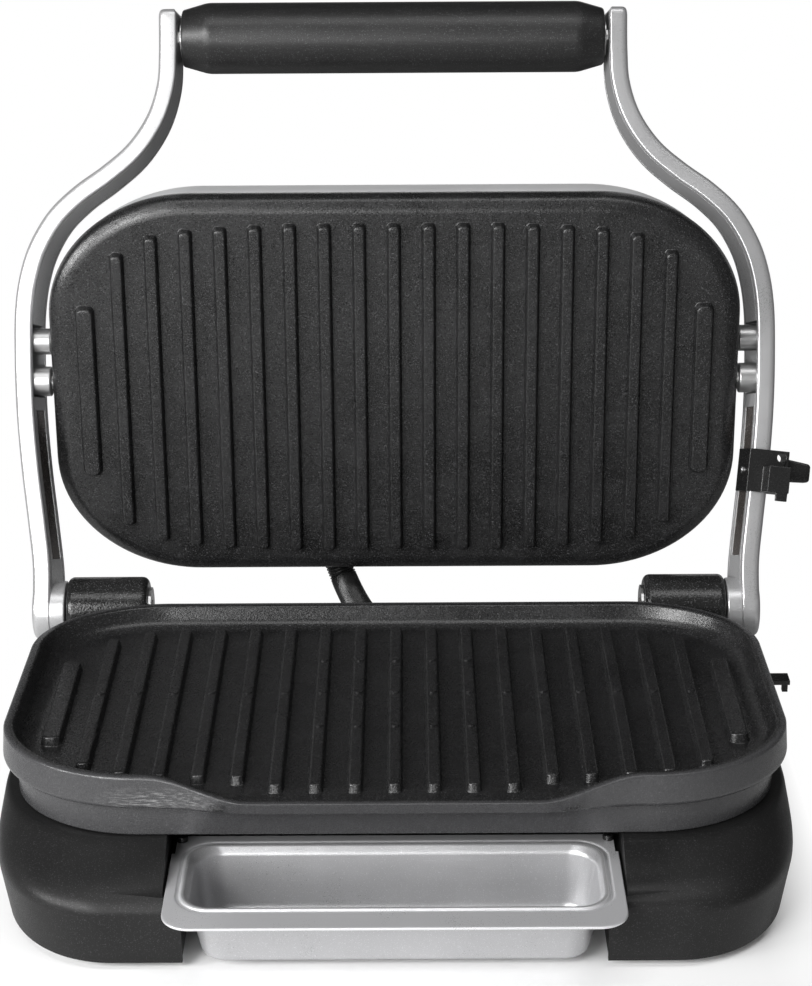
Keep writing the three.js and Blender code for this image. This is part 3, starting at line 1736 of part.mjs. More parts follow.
function addArms() {
  const arms = new THREE.Group();
  arms.position.set(0, hub_y, hub_z);
  arms.rotation.x = -radians(open_lean);
  grill.add(arms);
  const arm = armBody();
  piece(arms, "right_arm", arm, "silver");
  piece(arms, "left_arm", mirrored(arm), "silver");
  piece(arms, "right_arm_insert", armInsert(), "dark_insert");
  piece(arms, "left_arm_insert", mirrored(armInsert()), "dark_insert");
  piece(arms, "right_hub_cap", hubCap(), "steel");
  piece(arms, "left_hub_cap", mirrored(hubCap()), "steel");
  piece(arms, "right_stop_pin", stopPin(), "silver");
  piece(arms, "left_stop_pin", mirrored(stopPin()), "silver");
  piece(arms, "handle_grip", handleGrip(), "grip");
  piece(arms, "handle_rod", handleRod(), "steel");
  piece(arms, "right_handle_screw", handleScrew(), "steel");
  piece(arms, "left_handle_screw", mirrored(handleScrew()), "steel");
  const lock = new THREE.Group();
  const lockPlace = routeAt(lock_distance);
  const along = armRoute.getTangent(lockPlace);
  lock.position.copy(armRoute.getPoint(lockPlace));
  lock.rotation.y = Math.atan2(along.x, along.z);
  arms.add(lock);
  piece(lock, "lock_clip", lockClip(), "gloss_black");
}

function addHead() {
  const head = new THREE.Group();
  head.position.copy(pivotPlace());
  grill.add(head);
  piece(head, "upper_plate", upperPlate(), "coating");
  piece(head, "top_cover", topCover(), "cover_silver");
  piece(head, "upper_heating_element", upperElement(), "steel");
  piece(head, "upper_heat_shield", headShield(), "steel");
  piece(head, "upper_thermostat", upperThermostat(), "ceramic");
  piece(head, "right_pivot_pin", pivotPin(), "silver");
  piece(head, "left_pivot_pin", mirrored(pivotPin()), "silver");
  const screwStart = head_joint - screw_seat_depth - seat_gap * 2;
  headBossPlaces().forEach(([x, y], i) => {
    const made = faceForward(screw(cover_screw_length).translate(x, y, screwStart));
    piece(head, "cover_screw_" + (i + 1), made, "steel");
  });
  piece(head, "conduit_sleeve", hoseSleeve(), "gloss_black");
}

addBase();
addTray();
addArms();
addHead();
grill.position.z = -casing_bottom;

export default grill;
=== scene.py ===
"""Looks of an electric contact grill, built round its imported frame.

Sizes are millimetres above the table, as on a drawing of the grill; new_object() turns them into
the frame's metres. X runs to the user's right, Y to the back and Z up.
"""

import json
import math

import bmesh
import bpy
import numpy as np
from mathutils import Matrix, Vector


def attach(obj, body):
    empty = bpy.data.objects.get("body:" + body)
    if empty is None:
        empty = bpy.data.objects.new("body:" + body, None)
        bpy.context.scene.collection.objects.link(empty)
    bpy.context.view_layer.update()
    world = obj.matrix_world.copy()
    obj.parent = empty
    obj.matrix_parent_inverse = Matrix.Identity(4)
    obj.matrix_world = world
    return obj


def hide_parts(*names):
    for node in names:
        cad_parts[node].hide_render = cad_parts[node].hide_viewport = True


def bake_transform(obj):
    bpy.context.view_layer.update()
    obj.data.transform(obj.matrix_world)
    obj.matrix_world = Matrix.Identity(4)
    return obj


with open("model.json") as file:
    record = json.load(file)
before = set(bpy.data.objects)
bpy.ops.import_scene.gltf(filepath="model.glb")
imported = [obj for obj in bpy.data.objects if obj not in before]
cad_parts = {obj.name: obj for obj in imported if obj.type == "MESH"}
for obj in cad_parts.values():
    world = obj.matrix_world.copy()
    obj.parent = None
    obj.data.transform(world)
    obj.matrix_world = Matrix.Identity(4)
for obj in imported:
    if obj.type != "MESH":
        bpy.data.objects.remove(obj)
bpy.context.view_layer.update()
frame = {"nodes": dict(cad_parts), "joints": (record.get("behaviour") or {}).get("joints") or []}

# ---- sizes

MM = 0.001
CASING_BOTTOM = 3.0  # height of the frame's origin over the table
MERGE_DISTANCE = 2e-7
SEAT = 0.3  # gap between pieces that touch


def hinge_of(name):
    """A joint's place in millimetres above the table."""
    joint = next(j for j in frame["joints"] if j["name"] == name)
    return Vector(joint["pos_m"]) / MM + Vector((0, 0, CASING_BOTTOM))


HUB = hinge_of("arm_hinge")
PIVOT = hinge_of("plate_pivot")
LEAN = math.atan2(PIVOT.y - HUB.y, PIVOT.z - HUB.z)
ARM_RADIUS = (PIVOT - HUB).length

FRAME = Matrix.Scale(MM, 4) @ Matrix.Translation((0, 0, -CASING_BOTTOM))
BASE = Matrix.Identity(4)
ARMS = Matrix.Translation(HUB) @ Matrix.Rotation(-LEAN, 4, "X")
HEAD = Matrix.Translation(PIVOT)
HEAD_FLAT = HEAD @ Matrix.Rotation(math.pi / 2, 4, "X")  # drawn flat, Z out of the cooking face
MIRROR = Matrix.Scale(-1, 4, (1, 0, 0))
SIDES = ((1, "right"), (-1, "left"))


def on_side(sign, matrix=ARMS):
    """A side's name, and a matrix that mirrors what is drawn for the right side onto the left."""
    return ("right", matrix) if sign > 0 else ("left", matrix @ MIRROR)


# ---- camera

CAMERA_PLACE = (7.24, -985.9, 556.3)
CAMERA_PITCH = 21.63
CAMERA_YAW = 0.11
CAMERA_ROLL = -0.346
FOCAL_PIXELS = 2450
IMAGE_HEIGHT = 986
SENSOR = 36
CLIP_START = 0.01


def add_object(name, data):
    made = bpy.data.objects.new(name, data)
    bpy.context.scene.collection.objects.link(made)
    return made


def add_camera():
    data = bpy.data.cameras.new("camera")
    data.sensor_width = SENSOR
    data.lens = SENSOR * FOCAL_PIXELS / IMAGE_HEIGHT
    data.clip_start = CLIP_START
    camera = add_object("camera", data)
    place = Matrix.Translation(FRAME @ Vector(CAMERA_PLACE))
    for angle, axis in ((CAMERA_YAW, "Z"), (90 - CAMERA_PITCH, "X"), (CAMERA_ROLL, "Z")):
        place = place @ Matrix.Rotation(math.radians(angle), 4, axis)
    camera.matrix_world = place
    bpy.context.scene.camera = camera


# ---- mesh helpers


def soften(points, radii, steps=5, closed=False):
    """A row of points with its corners rounded; distances count in the first two values."""
    points = [np.array(p, float) for p in points]
    if not hasattr(radii, "__len__"):
        radii = [radii] * len(points)
    made = []
    count = len(points)
    for i, p in enumerate(points):
        if not closed and i in (0, count - 1):
            made.append(p)
            continue
        before = points[i - 1] - p
        after = points[(i + 1) % count] - p
        long_before = np.linalg.norm(before[:2]) or np.linalg.norm(before)
        long_after = np.linalg.norm(after[:2]) or np.linalg.norm(after)
        cut = min(radii[i], 0.48 * long_before, 0.48 * long_after)
        if cut <= 1e-4:
            made.append(p)
            continue
        a = p + before * (cut / long_before)
        b = p + after * (cut / long_after)
        for k in range(steps + 1):
            t = k / steps
            made.append(a * (1 - t) ** 2 + p * (2 * t * (1 - t)) + b * t**2)
    return made


def soft_rows(corners, steps):
    """Softens rows of values whose last one is the corner's radius."""
    return soften([c[:-1] for c in corners], [c[-1] for c in corners], steps)


def smoothstep(value, low, high):
    t = min(max((value - low) / (high - low), 0), 1)
    return t * t * (3 - 2 * t)


def loft(rings, cap_start=True, joined=False):
    """Quads between rings of equal point counts, with flat caps; joined closes them in a loop."""
    rings = [np.asarray(r, float) for r in rings]
    n = len(rings[0])
    verts = np.vstack(rings)
    faces = []
    last = (len(rings) - 1) * n
    for a in range(0, last + n if joined else last, n):
        b = (a + n) % len(verts)
        faces += [(a + k, a + (k + 1) % n, b + (k + 1) % n, b + k) for k in range(n)]
    caps = [0, last] if cap_start else [last]
    for start in [] if joined else caps:
        middle = len(verts)
        verts = np.vstack([verts, verts[start : start + n].mean(0)])
        faces += [(middle, start + k, start + (k + 1) % n) for k in range(n)]
    return verts, faces


def combine(*parts):
    """Several bodies as one."""
    verts, faces, start = [], [], 0
    for v, f in parts:
        verts.append(np.asarray(v, float))
        faces += [tuple(start + i for i in face) for face in f]
        start += len(v)
    return np.vstack(verts), faces


def moved(part, matrix):
    verts, faces = part
    m = np.array(matrix)
    return verts @ m[:3, :3].T + m[:3, 3], faces


def shifted(part, x=0, y=0, z=0):
    verts, faces = part
    return verts + np.array([x, y, z], float), faces


TURNS = {  # for a body drawn along Z
    "Z": Matrix.Identity(4),
    "Y": Matrix(((0, 1, 0, 0), (0, 0, 1, 0), (1, 0, 0, 0), (0, 0, 0, 1))),
    "X": Matrix(((0, 0, 1, 0), (1, 0, 0, 0), (0, 1, 0, 0), (0, 0, 0, 1))),
}


def turned(profile, steps=64, along="Z"):
    """A solid of revolution from (radius, height) pairs; off the axis, they are a closed loop."""
    off_axis = [p for p in profile if p[0] >= 1e-6]
    angles = [2 * math.pi * k / steps for k in range(steps)]
    rings = [[(r * math.cos(a), r * math.sin(a), h) for a in angles] for r, h in off_axis]
    return moved(loft(rings, joined=len(off_axis) == len(profile)), TURNS[along])


def rod(radius, start, end, steps=48, along="Z", bevel=0.0):
    profile = [(0, start), (radius, start), (radius, end), (0, end)]
    return turned(soften(profile, bevel, 3), steps, along)


def box_part(low, high):
    (x0, y0, z0), (x1, y1, z1) = low, high
    return prism([(x0, y0), (x1, y0), (x1, y1), (x0, y1)], z0, z1)


PUT = {  # an outline's point at a height along an axis
    "Z": lambda p, h: (p[0], p[1], h),
    "Y": lambda p, h: (p[0], h, p[1]),
    "X": lambda p, h: (h, p[0], p[1]),
}


def prism(shape, start, end, along="Z"):
    return loft([[PUT[along](p, h) for p in shape] for h in (start, end)])


def soft_prism(shape, start, end, bevel, along="Z", steps=3):
    """A prism with its end edges rounded, by rings drawn in from its outline."""
    points = np.asarray(shape, float)
    offsets = inward(points)
    turns = [math.pi / 2 * k / steps for k in range(steps + 1)]
    rings = []
    for side, sign, angles in ((start, 1, turns), (end, -1, turns[::-1])):
        for t in angles:
            inset = bevel * (1 - math.sin(t))
            height = side + sign * bevel * (1 - math.cos(t))
            rings.append([PUT[along](p + o * inset, height) for p, o in zip(points, offsets)])
    return loft(rings)


def inward(points):
    """At each corner of a closed outline, the way in that moves its two edges in by one."""
    before = points - np.roll(points, 1, 0)
    after = np.roll(points, -1, 0) - points
    x, y = points.T
    area = np.sum(x * np.roll(y, -1) - y * np.roll(x, -1))
    sign = 1 if area > 0 else -1
    found = []
    for a, b in zip(before, after):
        a = a / (np.linalg.norm(a) or 1)
        b = b / (np.linalg.norm(b) or 1)
        na = np.array([-a[1], a[0]]) * sign
        nb = np.array([-b[1], b[0]]) * sign
        bend = max(1 + float(na @ nb), 0.3)
        found.append((na + nb) / bend)
    return np.array(found)


def smooth(mesh, angle):
    """Shades a mesh smooth, with the edges sharper than an angle left hard."""
    mesh.shade_smooth()
    mesh.set_sharp_from_angle(angle=math.radians(angle))


def new_object(name, part, matrix=BASE, angle=35):
    """A Blender object of a body drawn in millimetres, with its faces turned outwards."""
    verts, faces = moved(part, FRAME @ matrix)
    mesh = bpy.data.meshes.new(name)
    mesh.from_pydata(verts.tolist(), [], faces)
    bm = bmesh.new()
    bm.from_mesh(mesh)
    bmesh.ops.remove_doubles(bm, verts=bm.verts, dist=MERGE_DISTANCE)
    bmesh.ops.recalc_face_normals(bm, faces=bm.faces)
    bm.to_mesh(mesh)
    bm.free()
    smooth(mesh, angle)
    return add_object(name, mesh)


def apply_modifiers(obj):
    bpy.context.view_layer.update()
    depsgraph = bpy.context.evaluated_depsgraph_get()
    mesh = bpy.data.meshes.new_from_object(obj.evaluated_get(depsgraph))
    obj.modifiers.clear()
    old = obj.data
    obj.data = mesh
    bpy.data.meshes.remove(old)


def carve(obj, cutters, operation="DIFFERENCE", matrix=BASE, angle=35):
    """Cuts bodies from an object, or joins them to it."""
    tools = []
    for part in cutters:
        tool = new_object("tool", part, matrix)
        change = obj.modifiers.new("change", "BOOLEAN")
        change.operation = operation
        change.solver = "EXACT"
        change.object = tool
        tools.append(tool)
    apply_modifiers(obj)
    for tool in tools:
        bpy.data.meshes.remove(tool.data)
    smooth(obj.data, angle)
    return obj


def round_edges(obj, width, angle=40):
    """Rounds the edges sharper than an angle."""
    bevel = obj.modifiers.new("round", "BEVEL")
    bevel.width = width * MM
    bevel.segments = 2
    bevel.limit_method = "ANGLE"
    bevel.angle_limit = math.radians(angle)
    bevel.use_clamp_overlap = True
    bevel.harden_normals = False
    apply_modifiers(obj)
    smooth(obj.data, angle)
    return obj


def even_normals(obj):
    """Lets the large faces set the shading at the rounded edges beside them."""
    weigh = obj.modifiers.new("weigh", "WEIGHTED_NORMAL")
    weigh.mode = "FACE_AREA"
    weigh.weight = 50
    weigh.keep_sharp = True
    apply_modifiers(obj)


def piece(obj, body, material, slot, *nodes):
    """Gives a finished object its material and its body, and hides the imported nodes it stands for."""
    even_normals(obj)
    obj.data.materials.clear()
    obj.data.materials.append(material)
    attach(obj, body)
    if nodes:
        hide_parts(*nodes)
    return obj


# ---- materials


def node(tree, kind, output, values=(), **settings):
    """A new node's output; its inputs are set to values, or linked to other nodes' outputs."""
    made = tree.nodes.new("ShaderNode" + kind)
    for key, value in settings.items():
        setattr(made, key, value)
    for key, value in dict(values).items():
        if isinstance(value, bpy.types.NodeSocket):
            tree.links.new(value, made.inputs[key])
        else:
            made.inputs[key].default_value = value
    return made.outputs[output] if output is not None else None


def noise(tree, size, detail=2.0, stretch=(1, 1, 1), shift=0.0):
    """Noise whose blobs measure size millimetres, in the piece's own coordinates."""
    place = node(tree, "TexCoord", "Object")
    place = node(
        tree, "Mapping", "Vector", {"Scale": stretch, "Location": (shift,) * 3, "Vector": place}
    )
    values = {"Scale": 1 / (size * MM), "Detail": detail, "Roughness": 0.55, "Vector": place}
    return node(tree, "TexNoise", "Fac", values)


def spread(tree, source, low, high, to_low, to_high):
    """Maps a range of a value to another."""
    values = {"Value": source, "From Min": low, "From Max": high, "To Min": to_low, "To Max": to_high}
    return node(tree, "MapRange", "Result", values, clamp=True)


def maths(tree, operation, first, second):
    return node(tree, "Math", "Value", {0: first, 1: second}, operation=operation)


def blend_colour(tree, factor, first, second):
    values = {0: factor, 6: first, 7: second}  # the sockets of a Mix of colours
    values = {k: (*v, 1) if isinstance(v, tuple) else v for k, v in values.items()}
    return node(tree, "Mix", 2, values, data_type="RGBA")


def vector_maths(tree, operation, first, second=(0, 0, 0)):
    output = "Value" if operation == "LENGTH" else "Vector"
    return node(tree, "VectorMath", output, {0: first, 1: second}, operation=operation)


def fresh_tree(owner):
    """The emptied node tree of a material or world."""
    owner.use_nodes = True
    owner.node_tree.nodes.clear()
    return owner.node_tree


def grey(value, tint=(1, 1, 1)):
    return tuple(value * t for t in tint)


NOISE_RANGE = (0.3, 0.7)  # nearly all of a noise's values
SPECK_RANGE = (0.62, 0.7)
PORE_RANGE = (0.6, 0.7)
FINE_SHIFT, SPECK_SHIFT, PORE_SHIFT, SWELL_SHIFT, STREAK_SHIFT = 3.1, 7.7, 5.5, 1.7, 9.3
# the attribute that marks where the lighter tone is painted in as light
OUTER_SIDE = "outer_side"
SCUFF_PLACE = (-98, -95, 65)
SCUFF_REACH = (34, 14, 7)
SCUFF_TONE = 0.3


def add_scuffs(tree, tone):
    """Fine light scratches in one worn patch on the rim."""
    middle = Vector(SCUFF_PLACE) - Vector((0, 0, CASING_BOTTOM))
    scale = tuple(1 / (r * MM) for r in SCUFF_REACH)
    offset = tuple(-m * MM * s for m, s in zip(middle, scale))
    place = node(tree, "TexCoord", "Object")
    values = {"Location": offset, "Scale": scale, "Vector": place}
    place = node(tree, "Mapping", "Vector", values)
    patch = spread(tree, vector_maths(tree, "LENGTH", place), 0.45, 1.0, 1, 0)
    streaks = noise(tree, 0.7, 4, (0.13, 1, 1.3), STREAK_SHIFT)
    lines = spread(tree, streaks, 0.5, 0.66, 0, 0.6)
    return blend_colour(tree, maths(tree, "MULTIPLY", patch, lines), tone, grey(SCUFF_TONE))


def finish(
    name,
    colour,
    roughness,
    metallic=0.0,
    ior=1.5,
    grain=0.6,
    bump=0.02,
    mottle=0.15,
    mottle_size=30,
    speckle=None,
    speckle_colour=(0.3, 0.3, 0.31),
    rough_spread=0.06,
    pores=None,
    wave=None,
    stretch=(1, 1, 1),
    painted_lit_outside=None,
    scuffed=False,
):
    """A material with grain, specks and pores; painted_lit_outside, a lighter copy of the colour
    painted in as light, colours what mark_outer_side() marks.

    Speckle, pores and wave are each an amount and a size.
    """
    made = bpy.data.materials.new(name)
    tree = fresh_tree(made)
    cloud = noise(tree, mottle_size, 3)
    fine = noise(tree, grain, 2, stretch, FINE_SHIFT)

    dark = tuple(c * (1 - mottle) for c in colour)
    light = tuple(min(c * (1 + mottle), 1) for c in colour)
    tone = blend_colour(tree, spread(tree, cloud, *NOISE_RANGE, 0, 1), dark, light)
    # The lighter tone on the marked outer side is painted light, not a second finish.
    if painted_lit_outside:
        side = node(tree, "Attribute", "Fac", attribute_name=OUTER_SIDE)
        tone = blend_colour(tree, side, tone, painted_lit_outside)
    if speckle:
        spots = noise(tree, speckle[1], 1, shift=SPECK_SHIFT)
        few = spread(tree, spots, *SPECK_RANGE, 0, speckle[0])
        tone = blend_colour(tree, few, tone, speckle_colour)
    if scuffed:
        tone = add_scuffs(tree, tone)

    rough = spread(tree, fine, *NOISE_RANGE, roughness - rough_spread, roughness + rough_spread)
    smear = spread(tree, cloud, *NOISE_RANGE, -rough_spread / 2, rough_spread / 2)
    relief = {"Strength": 1.0, "Distance": bump * MM, "Height": fine}
    if wave:
        swell = noise(tree, wave[1], 1, shift=SWELL_SHIFT)
        under = {"Strength": 1.0, "Distance": wave[0] * MM, "Height": swell}
        relief["Normal"] = node(tree, "Bump", "Normal", under)
    values = {
        "Base Color": tone,
        "Metallic": metallic,
        "IOR": ior,
        "Roughness": maths(tree, "ADD", rough, smear),
        "Normal": node(tree, "Bump", "Normal", relief),
    }
    if pores:
        holes = noise(tree, pores[1], 1, shift=PORE_SHIFT)
        values["Specular IOR Level"] = spread(tree, holes, *PORE_RANGE, 0.5, 0.5 * (1 - pores[0]))
    shader = node(tree, "BsdfPrincipled", "BSDF", values)
    node(tree, "OutputMaterial", None, {"Surface": shader})
    return made


CASING = finish(
    "casing_plastic", grey(0.0105), 0.42, ior=1.34, grain=0.55, bump=0.06, mottle=0.1,
    speckle=(0.1, 0.5), rough_spread=0.08,
)
COATING_LOOK = dict(
    ior=1.55, grain=0.6, bump=0.09, mottle=0.25, mottle_size=18, rough_spread=0.07,
    speckle=(0.5, 0.5), speckle_colour=(0.16, 0.16, 0.165), pores=(0.75, 0.8), wave=(0.06, 7),
)
COATING = finish("nonstick_coating", grey(0.01, (1, 1, 1.03)), 0.3, **COATING_LOOK)
# The band and skirt outside the rim are painted lighter than the coating: a painted reflection of the
# bright floor and lamps.
PAN = finish(
    "nonstick_pan", grey(0.01, (1, 1, 1.03)), 0.27, painted_lit_outside=grey(0.047, (1, 1, 1.04)), scuffed=True,
    **COATING_LOOK,
)
SILVER = finish(
    "arm_silver", grey(0.52, (1, 1, 1.01)), 0.33, metallic=0.62, grain=0.35, bump=0.03, mottle=0.03,
)
# The flange and outer walls are painted lighter and the bowl inside darker, on one silver sheet:
# painted light on the front wall and painted shade in the bowl.
TRAY = finish(
    "tray_silver", grey(0.5, (1, 1, 1.02)), 0.36, metallic=0.6, painted_lit_outside=grey(0.78, (1, 1, 1.02)),
    grain=0.4, bump=0.04, mottle=0.04, rough_spread=0.08,
    speckle=(0.5, 0.4), speckle_colour=(0.85, 0.85, 0.87),
)
GRIP = finish(
    "grip_plastic", grey(0.011), 0.36, grain=0.5, bump=0.07, mottle=0.1, speckle=(0.2, 0.5),
)
HOUSING = finish(
    "housing_plastic", grey(0.012), 0.2, grain=0.9, bump=0.11, pores=(0.7, 1.1), speckle=(0.25, 0.6),
)
GLOSS = finish("gloss_black", grey(0.011), 0.24, grain=0.7, bump=0.02, mottle=0.1)
HOSE = finish("hose_black", grey(0.011), 0.3, grain=0.7, bump=0.01, mottle=0.1)
INSERT = finish(
    "insert_dark", grey(0.11, (1, 0.88, 0.82)), 0.24, metallic=0.6, grain=2.0, bump=0.01, mottle=0.3,
    wave=(0.03, 20),
)
PIN = finish("pin_satin", grey(0.5), 0.36, metallic=0.95, grain=0.3, bump=0.015, stretch=(1, 1, 4))
STEEL = finish("steel", grey(0.5), 0.32, metallic=1, grain=0.3, bump=0.01, stretch=(1, 1, 6))
SHEET = finish("shield_sheet", grey(0.5), 0.38, metallic=1, grain=0.4, bump=0.015, stretch=(6, 1, 1))
RUBBER = finish("rubber", grey(0.012), 0.75, grain=0.8, bump=0.04)
STUD = finish("stud_rubber", grey(0.01), 0.3, grain=0.8, bump=0.01)
CERAMIC = finish("ceramic", grey(0.75, (1, 0.97, 0.9)), 0.6, grain=0.4, bump=0.01)
COVER = finish(
    "cover_silver", grey(0.68, (1, 1, 1.01)), 0.38, metallic=0.3, grain=0.35, bump=0.012, mottle=0.03,
)


# ---- rounded outlines

CORNER_STEPS = 20
LEAST = 0.3


def outline(size, inset=0.0, corner=CORNER_STEPS, front_steps=1):
    """Points round a rectangle with elliptical corners, drawn in by an inset."""
    half = size["half"] - inset
    front = size["front"] + inset
    back = size["back"] - inset
    radii = (size.get(k, size["rx"]) for k in ("rx", "bx", "rf", "rb"))
    rx, bx, rf, rb = (max(r - inset, LEAST) for r in radii)
    points = [((half - rx) * (2 * i / front_steps - 1), front) for i in range(front_steps + 1)]
    quarter = math.pi / 2
    corners = (
        (half - rx, front + rf, rx, rf, -quarter, 1, corner),
        (half - bx, back - rb, bx, rb, 0, 0, corner),
        (bx - half, back - rb, bx, rb, quarter, 0, corner),
        (rx - half, front + rf, rx, rf, 2 * quarter, 0, corner - 1),
    )
    for x, y, ex, ey, start, first, last in corners:
        for i in range(first, last + 1):
            turn = start + quarter * i / corner
            points.append((x + ex * math.cos(turn), y + ey * math.sin(turn)))
    return points


def flat_ring(size, inset, z, **steps):
    return [(x, y, z) for x, y in outline(size, inset, **steps)]


# ---- base casing

PLATE = {"half": 168.5, "front": -90.5, "back": 87.5, "rx": 62, "bx": 61, "rf": 54, "rb": 48}
BASE_SIZE = {"half": 171.5, "front": -117, "back": 130, "rx": 50, "bx": 24, "rf": 60, "rb": 24}
SIDE_DRAFT = 4.5
END_DRAFT = 0.5
SHOULDER = 31.5
DECK = 45.0
DECK_INSETS = (1, 31, 4)  # side, front, back
CASING_WALL = 2.5
BAY_HALF = 88.0
BAY_BACK = -62.0
LEDGE = 32.0
LEDGE_HALF = 95.5
OVERRUN = 5.0  # how far a cut runs past what it cuts
COVER_RECESS = 2.1  # for the bottom cover


def casing_ring(draft, slope, inset, z):
    size = dict(BASE_SIZE)
    side, front, back = DECK_INSETS
    size["half"] -= SIDE_DRAFT * draft + side * slope
    size["front"] += END_DRAFT * draft + front * slope
    size["back"] -= END_DRAFT * draft + back * slope
    return flat_ring(size, inset, z, corner=28, front_steps=4)


def build_base():
    side = DECK_INSETS[0]
    corners = [
        # distance inward at the side, height, draft, slope, inset, corner's radius
        (SIDE_DRAFT + 6, CASING_BOTTOM, 1, 0, 6, 0),
        (SIDE_DRAFT, CASING_BOTTOM, 1, 0, 0, 0.8),
        (0, SHOULDER, 0, 0, 0, 6.0),
        (side, DECK, 0, 1, 0, 1.8),
        (side + 8, DECK, 0, 1, 8, 0),
    ]
    rings = [casing_ring(p[2], p[3], p[4], p[1]) for p in soft_rows(corners, 6)]
    casing = new_object("base_casing_body", loft(rings))
    recess = (-OVERRUN, CASING_BOTTOM + COVER_RECESS)
    pocket = [casing_ring(1, 0, CASING_WALL + 0.1, z) for z in recess]
    front = BASE_SIZE["front"] - OVERRUN
    bay = box_part((-BAY_HALF, front, -OVERRUN), (BAY_HALF, BAY_BACK, DECK + OVERRUN))
    ledge = box_part((-LEDGE_HALF, front, LEDGE), (LEDGE_HALF, BAY_BACK, DECK + OVERRUN))
    carve(casing, [loft(pocket), bay, ledge])
    round_edges(casing, 0.7, 50)
    return casing


HOUSING_X = (120.5, 159.8)
HOUSING_RADIUS = 16.0


def pedestal_and_housing(sign):
    """The pedestal is part of the casing; the housing is the cap over the shaft."""
    low, high = sorted((sign * HOUSING_X[0], sign * HOUSING_X[1]))
    r = HOUSING_RADIUS
    foot = [(HUB.y - r, SHOULDER), (HUB.y + r, SHOULDER), (HUB.y + r, HUB.z), (HUB.y - r, HUB.z)]
    foot = soften(foot, [0, 0, 0.6, 0.6], 3, closed=True)
    pedestal = soft_prism(foot, low, high, 0.8, along="X")
    arc = [math.pi * k / 40 for k in range(41)]
    cap = [(HUB.y + r * math.cos(a), HUB.z + SEAT + (r - SEAT) * math.sin(a)) for a in arc]
    housing = soft_prism(cap, low, high, 3.2, along="X", steps=6)
    return pedestal, housing


# ---- lower plate

BOW = 0.012  # the sides' outward bow, as a share of the width
BOW_AT = -12.0
BOW_REACH = 70.0
LIP_REACH = 7.5  # the pouring lip: forward, down, and half widths
LIP_DROP = 8.6
LIP_FLAT_HALF = 60.0
LIP_CURVE_HALF = 104.0
FLOOR = 66.0
RIM_TOP = 75.0
BAND_LOW = 61.0
SKIRT_INSET = 6.0


def plate_ring(inset, z, reach, drop):
    ring = []
    for x, y in outline(PLATE, inset, corner=28, front_steps=56):
        share = 1 - smoothstep(abs(x), LIP_FLAT_HALF, LIP_CURVE_HALF) if y < 0 else 0
        away = min(abs(y - BOW_AT) / BOW_REACH, 1)
        bowed = x * (1 + BOW * (1 - away**2) ** 2)
        ring.append((bowed, y - LIP_REACH * reach * share, z - LIP_DROP * drop * share))
    return ring


RIB_PITCH = 16.5
RIBS_EACH_SIDE = 9
RIB_HEIGHT = 4.0
RIB_TOP = 4.6
RIB_BASE = 6.6
RIB_ROUNDING = 0.72  # of the ends, as a share of the half width
RIB_STEPS = 7
LIP_RIBS = 3  # on each side of the middle one
LOWER_RIBS = (-4.8, 75.9, 7.0)  # middle, half length, and more towards the lip
UPPER_RIB_HALF = 83.6
END_RIB_EXTRA = 2.6
RIB_REACH = [1, 1, 1, 1, 0.992, 0.984, 0.97, 0.938, 0.834, 0.52]
END_SLOPE = 1.5


def rib(x, low, high, extra, floor):
    """One rib with a flared foot, sloping sides and rounded top and ends."""
    top = (RIB_TOP + extra) / 2
    base = (RIB_BASE + extra) / 2
    corners = [(base + 0.9, -0.25), (base, 0.0), (top + 0.2, RIB_HEIGHT), (top - 1.8, RIB_HEIGHT)]
    path = soften(corners, [0, 0.8, 0.75, 0], 5)
    rings = []
    for width, height in path:
        shift = END_SLOPE * (base - width)
        r = width * RIB_ROUNDING
        a, b = low + shift, high - shift
        right, left = x + width - r, x - width + r
        ring = []
        middles = ((right, a + r, -1), (right, b - r, 0), (left, b - r, 1), (left, a + r, 2))
        for cx, cy, start in middles:
            for k in range(RIB_STEPS):
                turn = math.pi / 2 * (start + k / (RIB_STEPS - 1))
                ring.append((cx + r * math.cos(turn), cy + r * math.sin(turn), floor + height))
        rings.append(ring)
    return loft(rings, cap_start=False)


def rib_row(centre, half_length, lip_extra, floor):
    ribs = []
    for i in range(-RIBS_EACH_SIDE, RIBS_EACH_SIDE + 1):
        reach = half_length * RIB_REACH[abs(i)]
        front = reach + (lip_extra if abs(i) <= LIP_RIBS else 0)
        extra = END_RIB_EXTRA if abs(i) == RIBS_EACH_SIDE else 0
        ribs.append(rib(i * RIB_PITCH, centre - front, centre + reach, extra, floor))
    return ribs


RIM_MIDDLE = 2.5
MARK_RADIUS = 2.0
MARK_HEIGHT = 0.6
MARK_ROWS = ((32.8, 2), (0, 8), (-32.8, 2))  # place, and the last marked rib on each side


def mark_outer_side(obj, rim, low):
    """Marks the vertices outside a rim's outline, or below a height, in millimetres; finish() paints a
    lighter tone there as painted light.
    """
    rim = np.array([p[:2] for p in rim])
    after = np.roll(rim, -1, 0)
    marks = obj.data.attributes.new(OUTER_SIDE, "FLOAT", "POINT")
    for vertex, mark in zip(obj.data.vertices, marks.data):
        x, y = vertex.co.x / MM, vertex.co.y / MM
        spans = (rim[:, 1] > y) != (after[:, 1] > y)
        a, b = rim[spans], after[spans]
        crossings = np.sum(x < a[:, 0] + (y - a[:, 1]) / (b[:, 1] - a[:, 1]) * (b[:, 0] - a[:, 0]))
        outside = crossings % 2 == 0 or vertex.co.z / MM + CASING_BOTTOM < low
        mark.value = 1.0 if outside else 0.0


